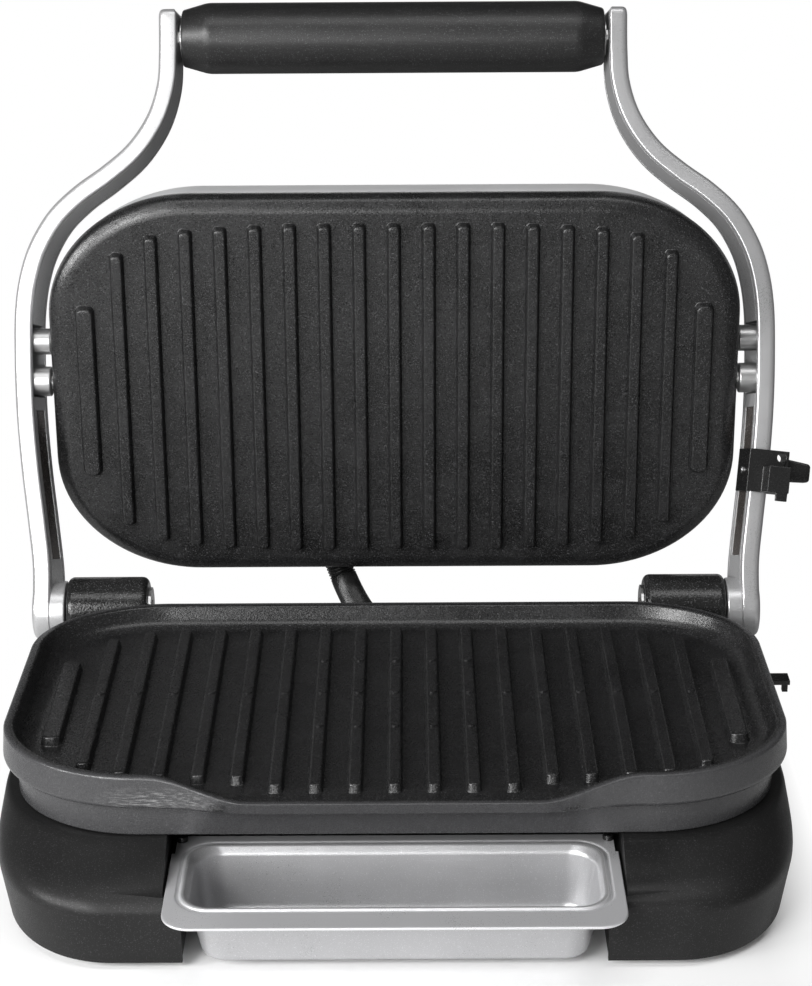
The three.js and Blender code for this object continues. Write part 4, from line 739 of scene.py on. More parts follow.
def build_lower_plate():
    corners = [
        # inset, height, share of the lip's reach and drop, then the corner's radius
        (16, 62, 0, 0, 0),
        (13, 62, 0, 0, 0.5),
        (9, 60, 0, 0, 0.5),
        (9, DECK + SEAT, 0, 0, 0.3),
        (SKIRT_INSET, DECK + SEAT, 0, 0, 0.8),
        (SKIRT_INSET - 0.6, 60.2, 0.3, 0.35, 1.2),
        (0.6, 60.9, 0.25, 0.2, 0.9),
        (0.0, 62.5, 0.5, 0.25, 1.0),
        (0.9, RIM_TOP, 1, 1, 1.3),
        (5.0, RIM_TOP, 1, 1, 1.0),
        (9.0, 68.0, 0.9, 0.2, 3.0),
        (13.5, FLOOR, 0.6, 0, 4.0),
        (18.0, FLOOR, 0.5, 0, 0),
        (21.0, FLOOR, 0.5, 0, 0),
    ]
    pan = loft([plate_ring(*p) for p in soft_rows(corners, 6)])
    ribs = rib_row(*LOWER_RIBS, FLOOR)
    marks = [
        shifted(rod(MARK_RADIUS, -0.5, MARK_HEIGHT, 20), i * RIB_PITCH, y, FLOOR + RIB_HEIGHT)
        for y, reach in MARK_ROWS
        for i in range(-reach, reach + 1)
    ]
    plate = new_object("lower_plate_casting", combine(pan, *ribs, *marks), angle=40)
    # Marks where the painted lighter tone of the outside goes.
    mark_outer_side(plate, plate_ring(RIM_MIDDLE, RIM_TOP, 1, 1), BAND_LOW)
    return plate


# ---- drip tray

TRAY_SIZE = {"half": 94.5, "front": -139.3, "back": -64.5}
TRAY_FLANGE = (7.4, 15.5, 8.2)  # side, front, back
TRAY_CORNER = 12.0
TRAY_BOTTOM = 4.0
TRAY_SHEET = 1.2
TRAY_NOTCH = ((93.0, -79.5, 20), (100, -55, 45))  # at each back corner, beside its stud
STUD_PLACE = (90.8, -68.6)
FLANGE_LOW = LEDGE + SEAT
FLANGE_TOP = FLANGE_LOW + TRAY_SHEET


def tray_ring(flange, more, corner, back_corner, z):
    """Flange counts the share of each flange's width, more the way in from there."""
    side, front, back = (w * flange + more for w in TRAY_FLANGE)
    half, near, far = TRAY_SIZE["half"], TRAY_SIZE["front"], TRAY_SIZE["back"]
    size = {"half": half - side, "front": near + front, "back": far - back}
    size.update(rx=corner, rf=corner, rb=back_corner, bx=back_corner)
    return flat_ring(size, 0, z, corner=14, front_steps=2)


def build_tray():
    c = TRAY_CORNER
    corners = [
        # way in from the flange's inner edge, height, flange share, corner, back corner, radius
        (12, TRAY_BOTTOM, 1, c - 4, c - 4, 0),
        (6.6, TRAY_BOTTOM, 1, c - 1, c - 1, 4.5),
        (1.4, FLANGE_LOW, 1, c, c, 0.8),
        (-7.4, FLANGE_LOW, 0, c, 4, 0.3),
        (-7.4, FLANGE_TOP, 0, c, 4, 0.45),
        (-3.2, FLANGE_TOP, 1, c + 2, c + 2, 0.4),
        (-2.7, FLANGE_TOP - 0.6, 1, c + 1.5, c + 1.5, 0.3),
        (-1.7, FLANGE_TOP - 0.6, 1, c + 1, c + 1, 0.3),
        (-1.1, FLANGE_TOP + 0.2, 1, c + 0.5, c + 0.5, 0.4),
        (0.4, FLANGE_TOP + 0.2, 1, c, c, 0.8),
        (2.6, FLANGE_LOW - 1.5, 1, c, c, 1.2),
        (6.4, TRAY_BOTTOM + TRAY_SHEET, 1, c - 2, c - 2, 5.5),
        (16, TRAY_BOTTOM + TRAY_SHEET, 1, c - 6, c - 6, 0),
        (20, TRAY_BOTTOM + TRAY_SHEET, 1, c - 8, c - 8, 0),
    ]
    rings = []
    for way, z, flange, corner, back_corner in soft_rows(corners, 6):
        more = way + TRAY_FLANGE[0] * (1 - flange)
        rings.append(tray_ring(flange, more, corner, back_corner, z))
    tray = new_object("drip_tray_pan", loft(rings), angle=50)
    notch = box_part(*TRAY_NOTCH)
    carve(tray, [notch, moved(notch, MIRROR)], angle=50)
    # Marks the flange and outer walls for the painted lighter tone; the bowl keeps the darker,
    # painted-shade one.
    mark_outer_side(tray, tray_ring(1, -0.6, c + 0.3, c + 0.3, 0), -OVERRUN)
    return tray


def tray_stud(sign):
    low, top = FLANGE_TOP - 1, FLANGE_TOP + 2.6
    profile = [(0, low), (1.2, low), (1.2, FLANGE_TOP), (2.4, FLANGE_TOP), (2.4, top), (0, top)]
    stud = turned(soften(profile, [0, 0, 0, 0.2, 1.2, 0], 6), 32)
    x, y = STUD_PLACE
    return new_object(f"tray_stud_{on_side(sign)[0]}", shifted(stud, sign * x, y))


# ---- arms

ARM_LENGTH = 293.0
ARM_WIDEST = 185.0
ARM_TOP_X = 114.3
ARM_ROUTE = [
    (0.873, 0), (0.877, 0.069), (0.908, 0.14), (0.953, 0.232), (0.986, 0.324), (1, 0.417),
    (0.996, 0.501), (0.965, 0.556), (0.9, 0.607), (0.767, 0.662), (0.593, 0.703), (0.392, 0.738),
    (0.22, 0.774), (0.083, 0.823), (0.013, 0.877), (0, 0.924), (0, 1),
]  # fmt: skip
ARM_HALF_DEPTH = 10.0
ARM_FACE = 8.6
ARM_BACK = 13.0
ARM_TOP_BACK = 10.6
NARROW_FROM = 150.0
HANDLE_AT = 279.8
ARM_CORNER = 1.7
OUTER_CORNER = 3.2
ARM_END_ROUNDING = 3.6
GROOVES = ((2.0, 2.8), (17.2, 17.9))  # start and end across the slanted face
GROOVE_DEPTH = 0.7
FOOT_REACH = 30.0  # the arm's foot narrows from the hub's width over this length


def smooth_curve(points, per_segment=24):
    """A centripetal curve through points."""
    pts = [np.array(p, float) for p in points]
    pts = [2 * pts[0] - pts[1], *pts, 2 * pts[-1] - pts[-2]]
    found = []
    for i in range(1, len(pts) - 2):
        p0, p1, p2, p3 = pts[i - 1 : i + 3]
        d0, d1, d2 = (np.linalg.norm(b - a) ** 0.5 for a, b in ((p0, p1), (p1, p2), (p2, p3)))
        t1 = ((p1 - p0) / d0 - (p2 - p0) / (d0 + d1) + (p2 - p1) / d1) * d1
        t2 = ((p2 - p1) / d1 - (p3 - p1) / (d1 + d2) + (p3 - p2) / d2) * d1
        for k in range(per_segment):
            t = k / per_segment
            square = (3 * (p2 - p1) - 2 * t1 - t2) * t**2
            found.append(p1 + t1 * t + square + (2 * (p1 - p2) + t1 + t2) * t**3)
    found.append(pts[-2])
    return np.array(found)


ARM_SPREAD = ARM_WIDEST - ARM_TOP_X
ROUTE = smooth_curve([(ARM_TOP_X + ARM_SPREAD * s, ARM_LENGTH * a) for s, a in ARM_ROUTE])


def route_x(along):
    return float(np.interp(along, ROUTE[:, 1], ROUTE[:, 0]))


def route_way(along):
    """The route's direction at a distance along the arm."""
    step = 0.8
    low, high = max(along - step, 0), min(along + step, ARM_LENGTH)
    way = np.array([route_x(high) - route_x(low), high - low])
    return way / np.linalg.norm(way)


def arm_sweep(sections):
    """A body through outlines of (inward, depth) points, each at its place along the arm."""
    rings = []
    for place, shape in sections:
        x = route_x(place)
        tx, tz = route_way(place)
        rings.append([(x - tz * i, d, place + tx * i) for i, d in shape])
    return loft(rings)


def back_width(place):
    return ARM_BACK + (ARM_TOP_BACK - ARM_BACK) * smoothstep(place, NARROW_FROM, HANDLE_AT)


def inner_face(depth, place=0.0):
    return ARM_FACE + (back_width(place) - ARM_FACE) * (depth / (2 * ARM_HALF_DEPTH) + 0.5)


def arm_section(place, inset=0.0):
    """Rounded section with a fine groove beside the front and the back edge of the slanted face."""
    wide = back_width(place)
    front = np.array([ARM_FACE, -ARM_HALF_DEPTH])
    back = np.array([wide, ARM_HALF_DEPTH])
    way = (back - front) / np.linalg.norm(back - front)
    into = np.array([-way[1], way[0]])
    groove = []
    for start, end in GROOVES:
        a, b = front + way * start, front + way * end
        groove += [a, a + into * GROOVE_DEPTH, b + into * GROOVE_DEPTH, b]
    corners = [(0, -ARM_HALF_DEPTH), (0, ARM_HALF_DEPTH), back, *reversed(groove), front]
    radii = [OUTER_CORNER, ARM_CORNER, 1.4, *[0.08] * 8, 1.1]
    points = np.array(soften(corners, radii, 4, closed=True))
    if inset:
        centre = np.array([(ARM_FACE + wide) / 4, 0.0])
        gap = points - centre
        length = np.maximum(np.linalg.norm(gap, axis=1), 2 * inset)
        points = centre + gap * (1 - inset / length)[:, None]
    widening = (HUB_RADIUS - 0.2) / ARM_HALF_DEPTH - 1
    points[:, 1] *= 1 + widening * (1 - smoothstep(place, 0, FOOT_REACH))
    return [tuple(p) for p in points]


def arm_bar():
    sections = [(place, arm_section(place)) for place in np.linspace(0, ARM_LENGTH - 4, 130)]
    for k in range(1, 7):
        a = math.pi / 2 * k / 6
        place = ARM_LENGTH - ARM_END_ROUNDING * (1 - math.sin(a))
        sections.append((place, arm_section(place, ARM_END_ROUNDING * (1 - math.cos(a)))))
    return arm_sweep(sections)


CHANNEL = (24.0, 97.0)
CHANNEL_HALF = 5.5
CHANNEL_DEPTH = 2.0
POCKET = (103.5, 139.5)
POCKET_HALF = 7.8
POCKET_FLOOR = 4.4
HUB_X = (160.3, 176.2)
HUB_RADIUS = 14.2
HUB_LINE = 167.2
HUB_CAP_RADIUS = 7.5
HUB_CAP_DEPTH = 2.0
INSERT_GAP = 0.25
INSERT_THICKNESS = 1.9


def build_arm(sign):
    side, matrix = on_side(sign)
    arm = new_object(f"{side}_arm_bar", arm_bar(), matrix, 50)
    x0, x1 = HUB_X
    r, cap, floor = HUB_RADIUS, HUB_CAP_RADIUS + 0.4, x1 - HUB_CAP_DEPTH
    line = [(r - sunk, HUB_LINE + way) for way, sunk in ((0, 0), (0.1, 0.6), (0.7, 0.6), (0.8, 0))]
    profile = [(0, x0), (r, x0), *line, (r, x1), (cap, x1), (cap, floor), (0, floor)]
    profile = soften(profile, [0, 1.0, *[0.1] * 4, 3.2, 0.4, 0, 0], 6)
    carve(arm, [turned(profile, 72, "X")], "UNION", matrix, 50)
    channel = []
    for place in np.linspace(*CHANNEL, 24):
        h, d = CHANNEL_HALF, CHANNEL_DEPTH
        low, high = inner_face(-h, place), inner_face(h, place)
        shape = [(low - d, -h), (high - d, h), (high + OVERRUN, h), (low + OVERRUN, -h)]
        channel.append((place, shape))
    h, far = POCKET_HALF, ARM_BACK + OVERRUN
    pocket = [(POCKET_FLOOR, -h), (POCKET_FLOOR, h), (far, h), (far, -h)]
    pockets = [(place, pocket) for place in np.linspace(*POCKET, 12)]
    carve(arm, [arm_sweep(channel), arm_sweep(pockets)], matrix=matrix, angle=50)
    return arm


def build_insert(sign):
    """The dark strip in the arm's channel, with rounded edges."""
    side, matrix = on_side(sign)
    half, top, deep = CHANNEL_HALF - INSERT_GAP, INSERT_GAP, INSERT_THICKNESS
    sections = []
    for place in np.linspace(CHANNEL[0] + INSERT_GAP, CHANNEL[1] - INSERT_GAP, 40):
        low, high = inner_face(-half, place), inner_face(half, place)
        shape = [(low - deep, -half), (high - deep, half), (high - top, half), (low - top, -half)]
        sections.append((place, soften(shape, [0, 0, 0.7, 0.7], 4, closed=True)))
    return new_object(f"{side}_insert_strip", arm_sweep(sections), matrix)


def screw_head(radius, start, height):
    """A screw's head with a rounded edge, along X."""
    end = start + height
    profile = [(0, start, 0), (radius, start, 0), (radius, end, 0.7), (0, end, 0)]
    return turned(soft_rows(profile, 5), 48, "X")


def build_hub_cap(sign):
    side, matrix = on_side(sign)
    end = HUB_X[1]
    head = screw_head(HUB_CAP_RADIUS, end - HUB_CAP_DEPTH, 1.9)
    cap = new_object(f"{side}_hub_cap_head", head, matrix)
    return carve(cap, [rod(2.6, end - 1.2, end + 2, 6, "X")], matrix=matrix)


GRIP_HALF = 103.1
GRIP_RADIUS = 17.2
GRIP_END_RADIUS = 13.6
GRIP_TAPER = 12.5
WASHER = (9.5, 103.15, 103.8)  # radius, start, end
HANDLE_SCREW = (5.2, 112.9, 1.35)  # radius, start, height
HANDLE_SOCKET = (2.0, 113.3, 118)  # radius, start, end


def build_handle():
    l, taper = GRIP_HALF, GRIP_HALF - GRIP_TAPER
    low, high = GRIP_END_RADIUS, GRIP_RADIUS
    profile = [(0, -l), (low, -l), (high, -taper), (high, taper), (low, l), (0, l)]
    grip = turned(soften(profile, [0, 1.3, 2.2, 2.2, 1.3, 0], 6), 96, "X")
    return new_object("handle_grip_body", shifted(grip, z=HANDLE_AT), ARMS)


def build_handle_end(sign):
    """The bright washer between grip and arm, and the screw on the outside."""
    side, matrix = on_side(sign)
    washer = shifted(rod(*WASHER, 48, "X"), z=HANDLE_AT)
    screw = shifted(screw_head(*HANDLE_SCREW), z=HANDLE_AT)
    head = new_object(f"{side}_handle_screw_head", screw, matrix)
    carve(head, [shifted(rod(*HANDLE_SOCKET, 6, "X"), z=HANDLE_AT)], matrix=matrix)
    return new_object(f"{side}_handle_washer", washer, matrix), head


# ---- upper plate and cover

HEAD_HALF = (167.0, 96.0)
HEAD_UP = -1.5
FACE = 11.4
HEAD_JOINT = -2.0
COVER_DEPTH = 24.0
HEAD_SIZE = {"half": HEAD_HALF[0], "front": HEAD_UP - HEAD_HALF[1], "back": HEAD_UP + HEAD_HALF[1]}
HEAD_SIZE.update(rx=70, rf=60, rb=60)
COVER_SIZE = {**HEAD_SIZE, "rx": 75, "rf": 65, "rb": 65}
COVER_SCREWS = (112, 58)
COVER_SCREW_WELL = 3.7
STOP_SLOT = ((0, 2.9, 15.7), (25, 9.7, 21.7))
STOP_SLOT_STARTS = (-175, 150)


def head_shell(size, corners, steps):
    rings = soft_rows(corners, steps)
    return loft([flat_ring(size, inset, z, corner=28, front_steps=2) for inset, z in rings])


def build_upper_plate():
    corners = [
        # inset, height, corner's radius
        (14, HEAD_JOINT, 0),
        (9, HEAD_JOINT, 0),
        (0.8, HEAD_JOINT, 0.3),
        (0.0, 3.0, 2.0),
        (1.0, 8.2, 2.2),
        (6.2, FACE, 2.6),
        (11.0, FACE, 0),
        (14.0, FACE, 0),
    ]
    ribs = rib_row(HEAD_UP, UPPER_RIB_HALF, 0, FACE)
    plate = combine(head_shell(HEAD_SIZE, corners, 6), *ribs)
    return new_object("upper_plate_casting", plate, HEAD_FLAT, 40)


def build_cover():
    start = HEAD_JOINT - SEAT
    back = start - COVER_DEPTH
    corners = [
        # inset, height, corner's radius
        (7, start, 0),
        (0.9, start, 0.4),
        (0.4, start - 3, 2),
        (0.4, start - COVER_DEPTH * 0.55, 6),
        (4.0, start - COVER_DEPTH * 0.9, 6),
        (16.0, back, 7),
        (28, back, 0),
        (34, back, 0),
    ]
    cover = new_object("top_cover_shell", head_shell(COVER_SIZE, corners, 8), HEAD_FLAT, 40)
    well = rod(COVER_SCREW_WELL, back - OVERRUN, start - 4, 40)
    sx, sy = COVER_SCREWS
    wells = [shifted(well, x, y + HEAD_UP) for x in (-sx, sx) for y in (-sy, sy)]
    carve(cover, wells, matrix=HEAD_FLAT, angle=40)
    slots = [shifted(box_part(*STOP_SLOT), x) for x in STOP_SLOT_STARTS]
    carve(cover, slots, matrix=HEAD, angle=40)
    return cover


PINS = {  # place along the arm, radius, shank's radius, its length in the plate
    "pivot": (ARM_RADIUS, 7.3, 4.0, 4.5),
    "stop": (ARM_RADIUS + 19.5, 6.4, 1.9, 2.6),
}


def pin(kind, sign):
    """A turned pin with a collar between plate and arm."""
    place, radius, shank, sunk = PINS[kind]
    matrix = HEAD if kind == "pivot" else ARMS @ Matrix.Translation((0, 0, place))
    side, matrix = on_side(sign, matrix)
    inner, start = HEAD_HALF[0] - sunk, HEAD_HALF[0] + 0.6
    end = route_x(place) - POCKET_FLOOR - SEAT
    profile = [(0, inner), (shank, inner), (shank, start), (radius, start), (radius, end), (0, end)]
    body = turned(soften(profile, [0, 0, 0, 1.0, 0.8, 0], 5), 64, "X")
    return new_object(f"{side}_{kind}_pin_body", body, matrix)


# ---- ribbed conduit

HOSE_START = Vector((-12.3, 107.0, 54.0))
HOSE_END = Vector((-32.8, 164.5, 71.0))
HOSE_TURN = math.radians(18)
HOSE_OUT = Vector((-math.sin(HOSE_TURN), math.cos(HOSE_TURN), 0))
HOSE_IN = Vector((-0.34, 0.15, 0.93)).normalized()
HOSE_STRAIGHT = 13.6
HOSE_RADIUS = 6.8
HOSE_RIB_DEPTH = 0.8
HOSE_PITCH = 1.6
HOSE_MEET = 0.42  # share of the length in the first half, the rest in the second
HOSE_HELD = 5.0  # how far in from each end the end points lie
HOSE_SIDES = 40
HOSE_RIB_STEPS = 8


def hose_path():
    first = HOSE_START + HOSE_OUT * HOSE_STRAIGHT
    last = HOSE_END - HOSE_IN * HOSE_STRAIGHT
    pull = (last - first).length / 4
    points = [HOSE_START.lerp(first, k / 10) for k in range(10)]
    for k in range(61):
        t = k / 60
        a, b, c, d = (1 - t) ** 3, 3 * t * (1 - t) ** 2, 3 * t * t * (1 - t), t**3
        bend = first * a + (first + HOSE_OUT * pull) * b
        points.append(bend + (last - HOSE_IN * pull) * c + last * d)
    points += [last.lerp(HOSE_END, k / 10) for k in range(1, 11)]
    return points


def distances(points):
    """Each point's distance along the path."""
    found = [0.0]
    for a, b in zip(points, points[1:]):
        found.append(found[-1] + (b - a).length)
    return found


def hose_part(points, start, end, name):
    """A stretch of ribbed tube between two distances along the path."""
    steps = distances(points)
    table = np.array([tuple(p) for p in points])

    def at(distance):
        return np.array([np.interp(distance, steps, table[:, i]) for i in range(3)])

    turns = [2 * math.pi * k / HOSE_SIDES for k in range(HOSE_SIDES)]
    rings = []
    offset = start
    while offset <= end + 1e-6:
        lift = 0.5 - 0.5 * math.cos(2 * math.pi * ((offset / HOSE_PITCH) % 1))
        radius = HOSE_RADIUS - HOSE_RIB_DEPTH * (1 - lift**0.7)
        way = at(min(offset + 0.4, steps[-1])) - at(max(offset - 0.4, 0))
        way /= np.linalg.norm(way)
        up = np.cross(way, (1, 0, 0))
        up /= np.linalg.norm(up)
        side = np.cross(up, way)
        middle = at(offset)
        side, up = side * radius, up * radius
        rings.append([middle + side * math.cos(a) + up * math.sin(a) for a in turns])
        offset += HOSE_PITCH / HOSE_RIB_STEPS
    return new_object(name, loft(rings), angle=80)


def build_conduit():
    """The conduit's two halves, and three points along it: near each end and where the halves meet."""
    points = hose_path()
    table = distances(points)
    total = table[-1]
    meet = HOSE_PITCH * round(total * HOSE_MEET / HOSE_PITCH)
    low = hose_part(points, 0, meet, "conduit_low")
    high = hose_part(points, meet, total, "conduit_high")
    middle = points[min(range(len(points)), key=lambda i: abs(table[i] - meet))]
    held = (HOSE_START + HOSE_OUT * HOSE_HELD, middle, HOSE_END - HOSE_IN * HOSE_HELD)
    return low, high, [FRAME @ p for p in held]


GLAND_HALF = 9.0
SLEEVE_RADII = (7.1, 8.4)


def build_gland():
    """The arched block on the deck that the conduit starts in."""
    bottom = DECK + SEAT - HOSE_START.z
    half = GLAND_HALF
    turns = [math.pi * k / 24 for k in range(25)]
    arc = [(half * math.cos(t), half * math.sin(t)) for t in turns]
    block = soft_prism([(half, bottom), *arc, (-half, bottom)], -5, 6, 0.8, along="Y")
    turn = Matrix.Translation(HOSE_START) @ Matrix.Rotation(HOSE_TURN, 4, "Z")
    return new_object("conduit_gland_block", block, turn)


def build_sleeve():
    turn = Vector((0, 0, 1)).rotation_difference(HOSE_IN).to_matrix().to_4x4()
    inside, outside = SLEEVE_RADII
    profile = [(inside, -6), (outside, -6), (outside, 9), (inside, 9)]
    ring = turned(soften(profile, [0.2, 0.8, 0.1, 0.1], 4, closed=True), 48)
    return new_object("conduit_sleeve_ring", ring, Matrix.Translation(HOSE_END) @ turn)


# ---- lock and catch

LOCK_AT = 65.5
LOCK_SCREW = (1.7, -3.0)  # radius, and the place across the arm
LOCK_HALF = 10.4
LOCK_SHEET = 1.8
LOCK_OUT = 8.4
LOCK_BACK = 5.0
KNOB_REACH = 11.4
LEG_LOW = -33.2


def lock_matrix():
    tx, tz = route_way(LOCK_AT)
    place = Matrix.Translation((route_x(LOCK_AT), 0, LOCK_AT))
    return ARMS @ place @ Matrix.Rotation(math.atan2(tx, tz), 4, "Y")


def build_lock():
    """The clip round the arm, drawn across it as (inward, depth), its knob and its screw."""
    matrix = lock_matrix()
    h, out, back = LOCK_HALF, LOCK_OUT, LOCK_BACK
    arm_front = -ARM_HALF_DEPTH - SEAT
    front = arm_front - 3
    side = out - 6.5
    edge = -ARM_FACE - SEAT
    inner = -inner_face(4) - SEAT
    sleeve = [(edge - LOCK_SHEET, front), (out, front), (out, back), (side, back)]
    sleeve += [(side, arm_front), (edge, arm_front), (inner, 4)]
    sleeve += [(inner - LOCK_SHEET, 4), (edge - LOCK_SHEET, arm_front)]
    body = new_object("lock_clip_body", prism(sleeve, -h, h), matrix)
    leg = box_part((-3.4, LEG_LOW, -h), (6.8, front + 0.6, 2))
    toe = box_part((0.8, LEG_LOW, -h - 4), (6.2, LEG_LOW + 3, -h + 0.6))
    carve(body, [leg, toe], "UNION", matrix)
    hole = shifted(rod(2.2, front - 5, 10, 32, "Y"), 4.8, 0, 7.2)
    carve(body, [hole], matrix=matrix)
    round_edges(body, 0.45, 40)

    start, end = out - 0.6, out + KNOB_REACH
    knob = [(start, -4), (end - 1, -3.4), (end, -2.4), (end, 4.6), (end - 1, 5.6), (start, 7)]
    knob = soften(knob, [0, 1, 1, 1, 1, 0], 3, closed=True)
    middle = (front + back) / 2
    grip = new_object("lock_knob", soft_prism(knob, middle - 5, middle + 5, 1.2, "Y"), matrix)

    radius, place = LOCK_SCREW
    wall = -inner_face(place) - SEAT - LOCK_SHEET
    head = shifted(rod(radius, wall - 0.7, wall + 0.5, 32, "X", 0.4), 0, place, 0)
    screw = new_object("lock_screw", head, matrix)
    slit = box_part((wall - 2, place - 0.25, -3), (wall - 0.35, place + 0.25, 3))
    carve(screw, [slit], matrix=matrix)
    return body, grip, screw


CATCH_SHEET = 2.0
CATCH_X = (165.2, 170.5, 185)  # flange, web, tip
CATCH_TOP = 49.4
PAD_TOP = DECK + 0.6
PAD = ((161.8, 49.2, SHOULDER), (172.5, 60, PAD_TOP))


def build_catch():
    low, high, t = PAD_TOP + SEAT, CATCH_TOP, CATCH_SHEET
    flange, web, tip = CATCH_X
    shape = [(flange, low), (web + t, low), (web + t, high - t), (tip, high - t)]
    shape += [(tip, high), (web, high), (web, low + t), (flange, low + t)]
    catch = new_object("lock_catch_plate", prism(shape, 50.2, 59, "Y"))
    carve(catch, [box_part((182.4, 56, 41), (tip, 59, high - 0.6))], "UNION")
    round_edges(catch, 0.35, 40)
    pad = new_object("catch_pad", box_part(*PAD))
    round_edges(pad, 0.8, 40)
    return catch, pad


# ---- build everything

add_camera()

hose_low, hose_high, hose_ends = build_conduit()
hose_low.data.materials.append(HOSE)
hose_high.data.materials.append(HOSE)
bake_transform(hose_low)
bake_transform(hose_high)
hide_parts("ribbed_conduit")
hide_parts("ribbed_conduit")

piece(build_base(), "base", CASING, "casing_plastic", "base_casing")
for sign, side in SIDES:
    foot, cap = pedestal_and_housing(sign)
    piece(new_object(f"{side}_pedestal", foot), "base", CASING, "casing_plastic")
    housing = new_object(f"{side}_housing_cap", cap)
    piece(housing, "base", HOUSING, "casing_plastic", f"{side}_hinge_housing")
piece(build_lower_plate(), "base", PAN, "nonstick_casting", "lower_plate")
piece(build_gland(), "base", GLOSS, "gloss_black", "conduit_gland")
catch, catch_pad = build_catch()
piece(catch, "base", GLOSS, "gloss_black", "lock_catch")
piece(catch_pad, "base", CASING, "casing_plastic")

piece(build_tray(), "tray", TRAY, "tray_silver", "drip_tray")
for sign, side in SIDES:
    piece(tray_stud(sign), "tray", STUD, "rubber", f"{side}_tray_stud")

for sign, side in SIDES:
    piece(build_arm(sign), "arms", SILVER, "arm_silver", f"{side}_arm")
    piece(build_insert(sign), "arms", INSERT, "insert_dark", f"{side}_arm_insert")
    piece(build_hub_cap(sign), "arms", STEEL, "steel", f"{side}_hub_cap")
    piece(pin("stop", sign), "arms", PIN, "arm_silver", f"{side}_stop_pin")
    piece(pin("pivot", sign), "head", PIN, "arm_silver", f"{side}_pivot_pin")
    washer, head_screw = build_handle_end(sign)
    piece(washer, "arms", STEEL, "steel")
    piece(head_screw, "arms", STEEL, "steel", f"{side}_handle_screw")
piece(build_handle(), "arms", GRIP, "grip_plastic", "handle_grip")

lock_body, lock_knob, lock_screw = build_lock()
piece(lock_body, "lock", GLOSS, "gloss_black", "lock_clip")
piece(lock_knob, "lock", GLOSS, "gloss_black")
piece(lock_screw, "lock", STEEL, "steel")

piece(build_upper_plate(), "head", COATING, "nonstick_casting", "upper_plate")
piece(build_cover(), "head", COVER, "cover_silver", "top_cover")
piece(build_sleeve(), "head", GLOSS, "gloss_black", "conduit_sleeve")

NODE_FINISHES = {
    INSERT: ("shaft", "insert"),
    RUBBER: ("foot",),
    STUD: ("stud",),
    CERAMIC: ("thermostat", "fuse", "block"),
    SHEET: ("shield", "bottom_cover"),
    GLOSS: ("gland", "sleeve", "lock"),
    HOSE: ("conduit",),
    GRIP: ("grip",),
    CASING: ("casing",),
    HOUSING: ("housing",),
    COATING: ("plate",),
    TRAY: ("tray",),
    COVER: ("top_cover",),
    SILVER: ("arm",),
}
for name, packed in frame["nodes"].items():
    fitting = (m for m, words in NODE_FINISHES.items() if any(w in name for w in words))
    packed.data.materials.clear()
    packed.data.materials.append(next(fitting, STEEL))

# ---- floor and light

WHITE = (1, 1, 1, 1)
SHADOW_HALF = (0.155, 0.145, 1.0)  # the base's half size: the floor turns white from here outwards
SHADOW_REACH = 0.035
FLOOR_REACH = 6.0
FLOOR_GAP = 0.0002
BOUNCE_REACH = (0.25, 0.45)  # the floor lights the object fully up to here, and dimly beyond


def add_floor():
    mesh = bpy.data.meshes.new("floor")
    r, z = FLOOR_REACH, -CASING_BOTTOM * MM - FLOOR_GAP
    mesh.from_pydata([(-r, -r, z), (r, -r, z), (r, r, z), (-r, r, z)], [], [(0, 1, 2, 3)])
    floor = add_object("floor", mesh)
    made = bpy.data.materials.new("floor_white")
    tree = fresh_tree(made)
    seen = node(tree, "LightPath", "Is Camera Ray")
    place = node(tree, "NewGeometry", "Position")
    outside = vector_maths(tree, "SUBTRACT", vector_maths(tree, "ABSOLUTE", place), SHADOW_HALF)
    distance = vector_maths(tree, "LENGTH", vector_maths(tree, "MAXIMUM", outside))
    away = spread(tree, vector_maths(tree, "LENGTH", place), *BOUNCE_REACH, 0, 1)
    tone = blend_colour(tree, seen, blend_colour(tree, away, grey(0.8), grey(0.2)), grey(1.0))
    shader = node(tree, "BsdfPrincipled", "BSDF", {"Roughness": 0.6, "Base Color": tone})
    glow = node(tree, "Emission", "Emission", {"Color": WHITE, "Strength": 1.0})
    far = spread(tree, distance, 0.0, SHADOW_REACH, 0, 1)
    values = {0: maths(tree, "MULTIPLY", far, seen), 1: shader, 2: glow}
    node(tree, "OutputMaterial", None, {"Surface": node(tree, "MixShader", "Shader", values)})
    mesh.materials.append(made)


SKY_LIGHT = 0.14
SKY_SEEN_IN_METAL = 0.17
SKY_SEEN_BEHIND = 0.05
BACKDROP_GLOW = 1.0  # low behind the object, in reflections: draws the ribs' edges


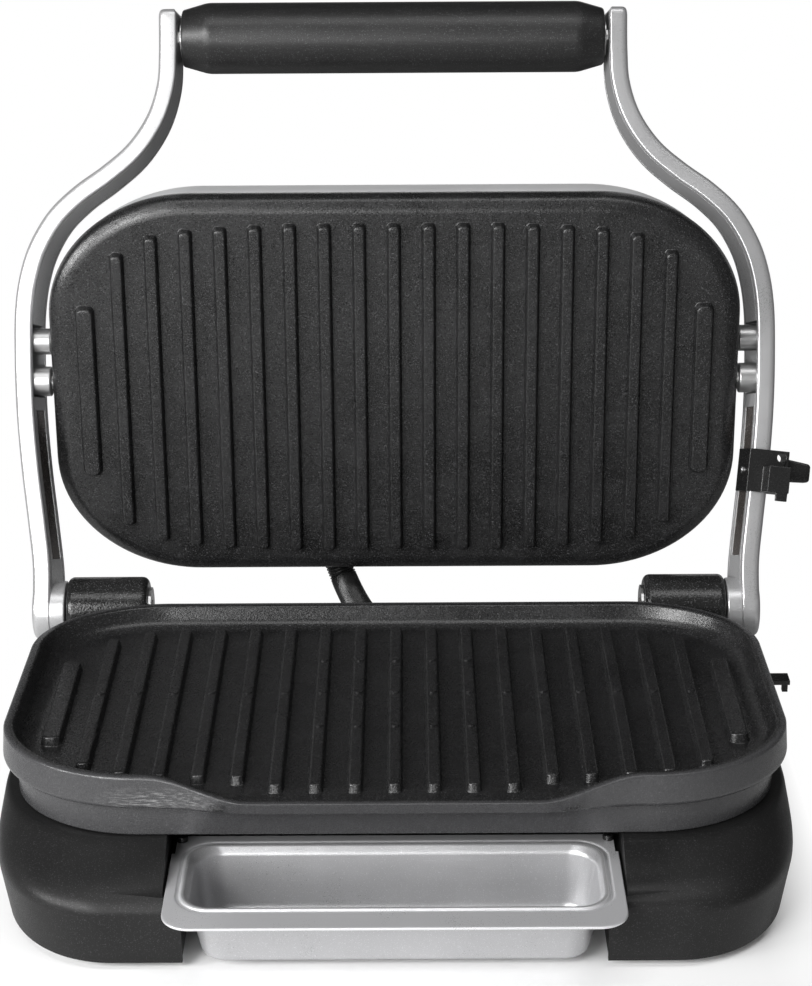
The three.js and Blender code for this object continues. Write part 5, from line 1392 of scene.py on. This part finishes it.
def add_world():
    world = bpy.data.worlds.new("studio")
    bpy.context.scene.world = world
    tree = fresh_tree(world)
    mirrors = node(tree, "LightPath", "Is Glossy Ray")
    seen = node(tree, "LightPath", "Is Camera Ray")
    way = node(tree, "TexCoord", "Generated")
    back = node(tree, "SeparateXYZ", "Y", {"Vector": way})
    up = node(tree, "SeparateXYZ", "Z", {"Vector": way})
    above = spread(tree, up, -0.05, 0.0, 0, 1)
    mirrored = spread(tree, back, 0.0, 0.4, SKY_SEEN_IN_METAL, SKY_SEEN_BEHIND)
    low = spread(tree, up, 0.05, 0.2, BACKDROP_GLOW, 0)
    behind = spread(tree, back, 0.3, 0.7, 0, 1)
    reflected = maths(tree, "ADD", mirrored, maths(tree, "MULTIPLY", low, behind))
    values = {"Factor": mirrors, "A": SKY_LIGHT, "B": reflected}
    strength = node(tree, "Mix", "Result", values, data_type="FLOAT")
    dim = maths(tree, "MULTIPLY", above, strength)
    light = node(tree, "Background", "Background", {"Color": WHITE, "Strength": dim})
    white = node(tree, "Background", "Background", {"Color": WHITE, "Strength": 1.0})
    values = {0: seen, 1: light, 2: white}
    node(tree, "OutputWorld", None, {"Surface": node(tree, "MixShader", "Shader", values)})


def add_softbox(name, place, aim, size, power):
    data = bpy.data.lights.new(name, "AREA")
    data.shape = "RECTANGLE"
    data.size, data.size_y = size
    data.energy = power
    lamp = add_object(name, data)
    way = Vector((0, 0, aim)) - Vector(place)
    turn = way.to_track_quat("-Z", "Y").to_matrix().to_4x4()
    lamp.matrix_world = Matrix.Translation(place) @ turn
    lamp.visible_camera = False


SOFTBOXES = (
    # name, place, height that it aims at, size, watts
    ("key", (-1.05, -1.55, 1.2), 0.12, (0.9, 0.9), 36),
    ("left", (-1.9, -0.95, 0.8), 0.12, (0.5, 0.5), 26),
    ("front", (-0.7, -2.1, 0.5), 0.12, (1.4, 0.6), 17),
    ("top", (0, -0.5, 2.0), 0.1, (1.8, 0.6), 10),
)


add_floor()
add_world()
for softbox in SOFTBOXES:
    add_softbox(*softbox)
bpy.context.scene.view_settings.view_transform = "Standard"
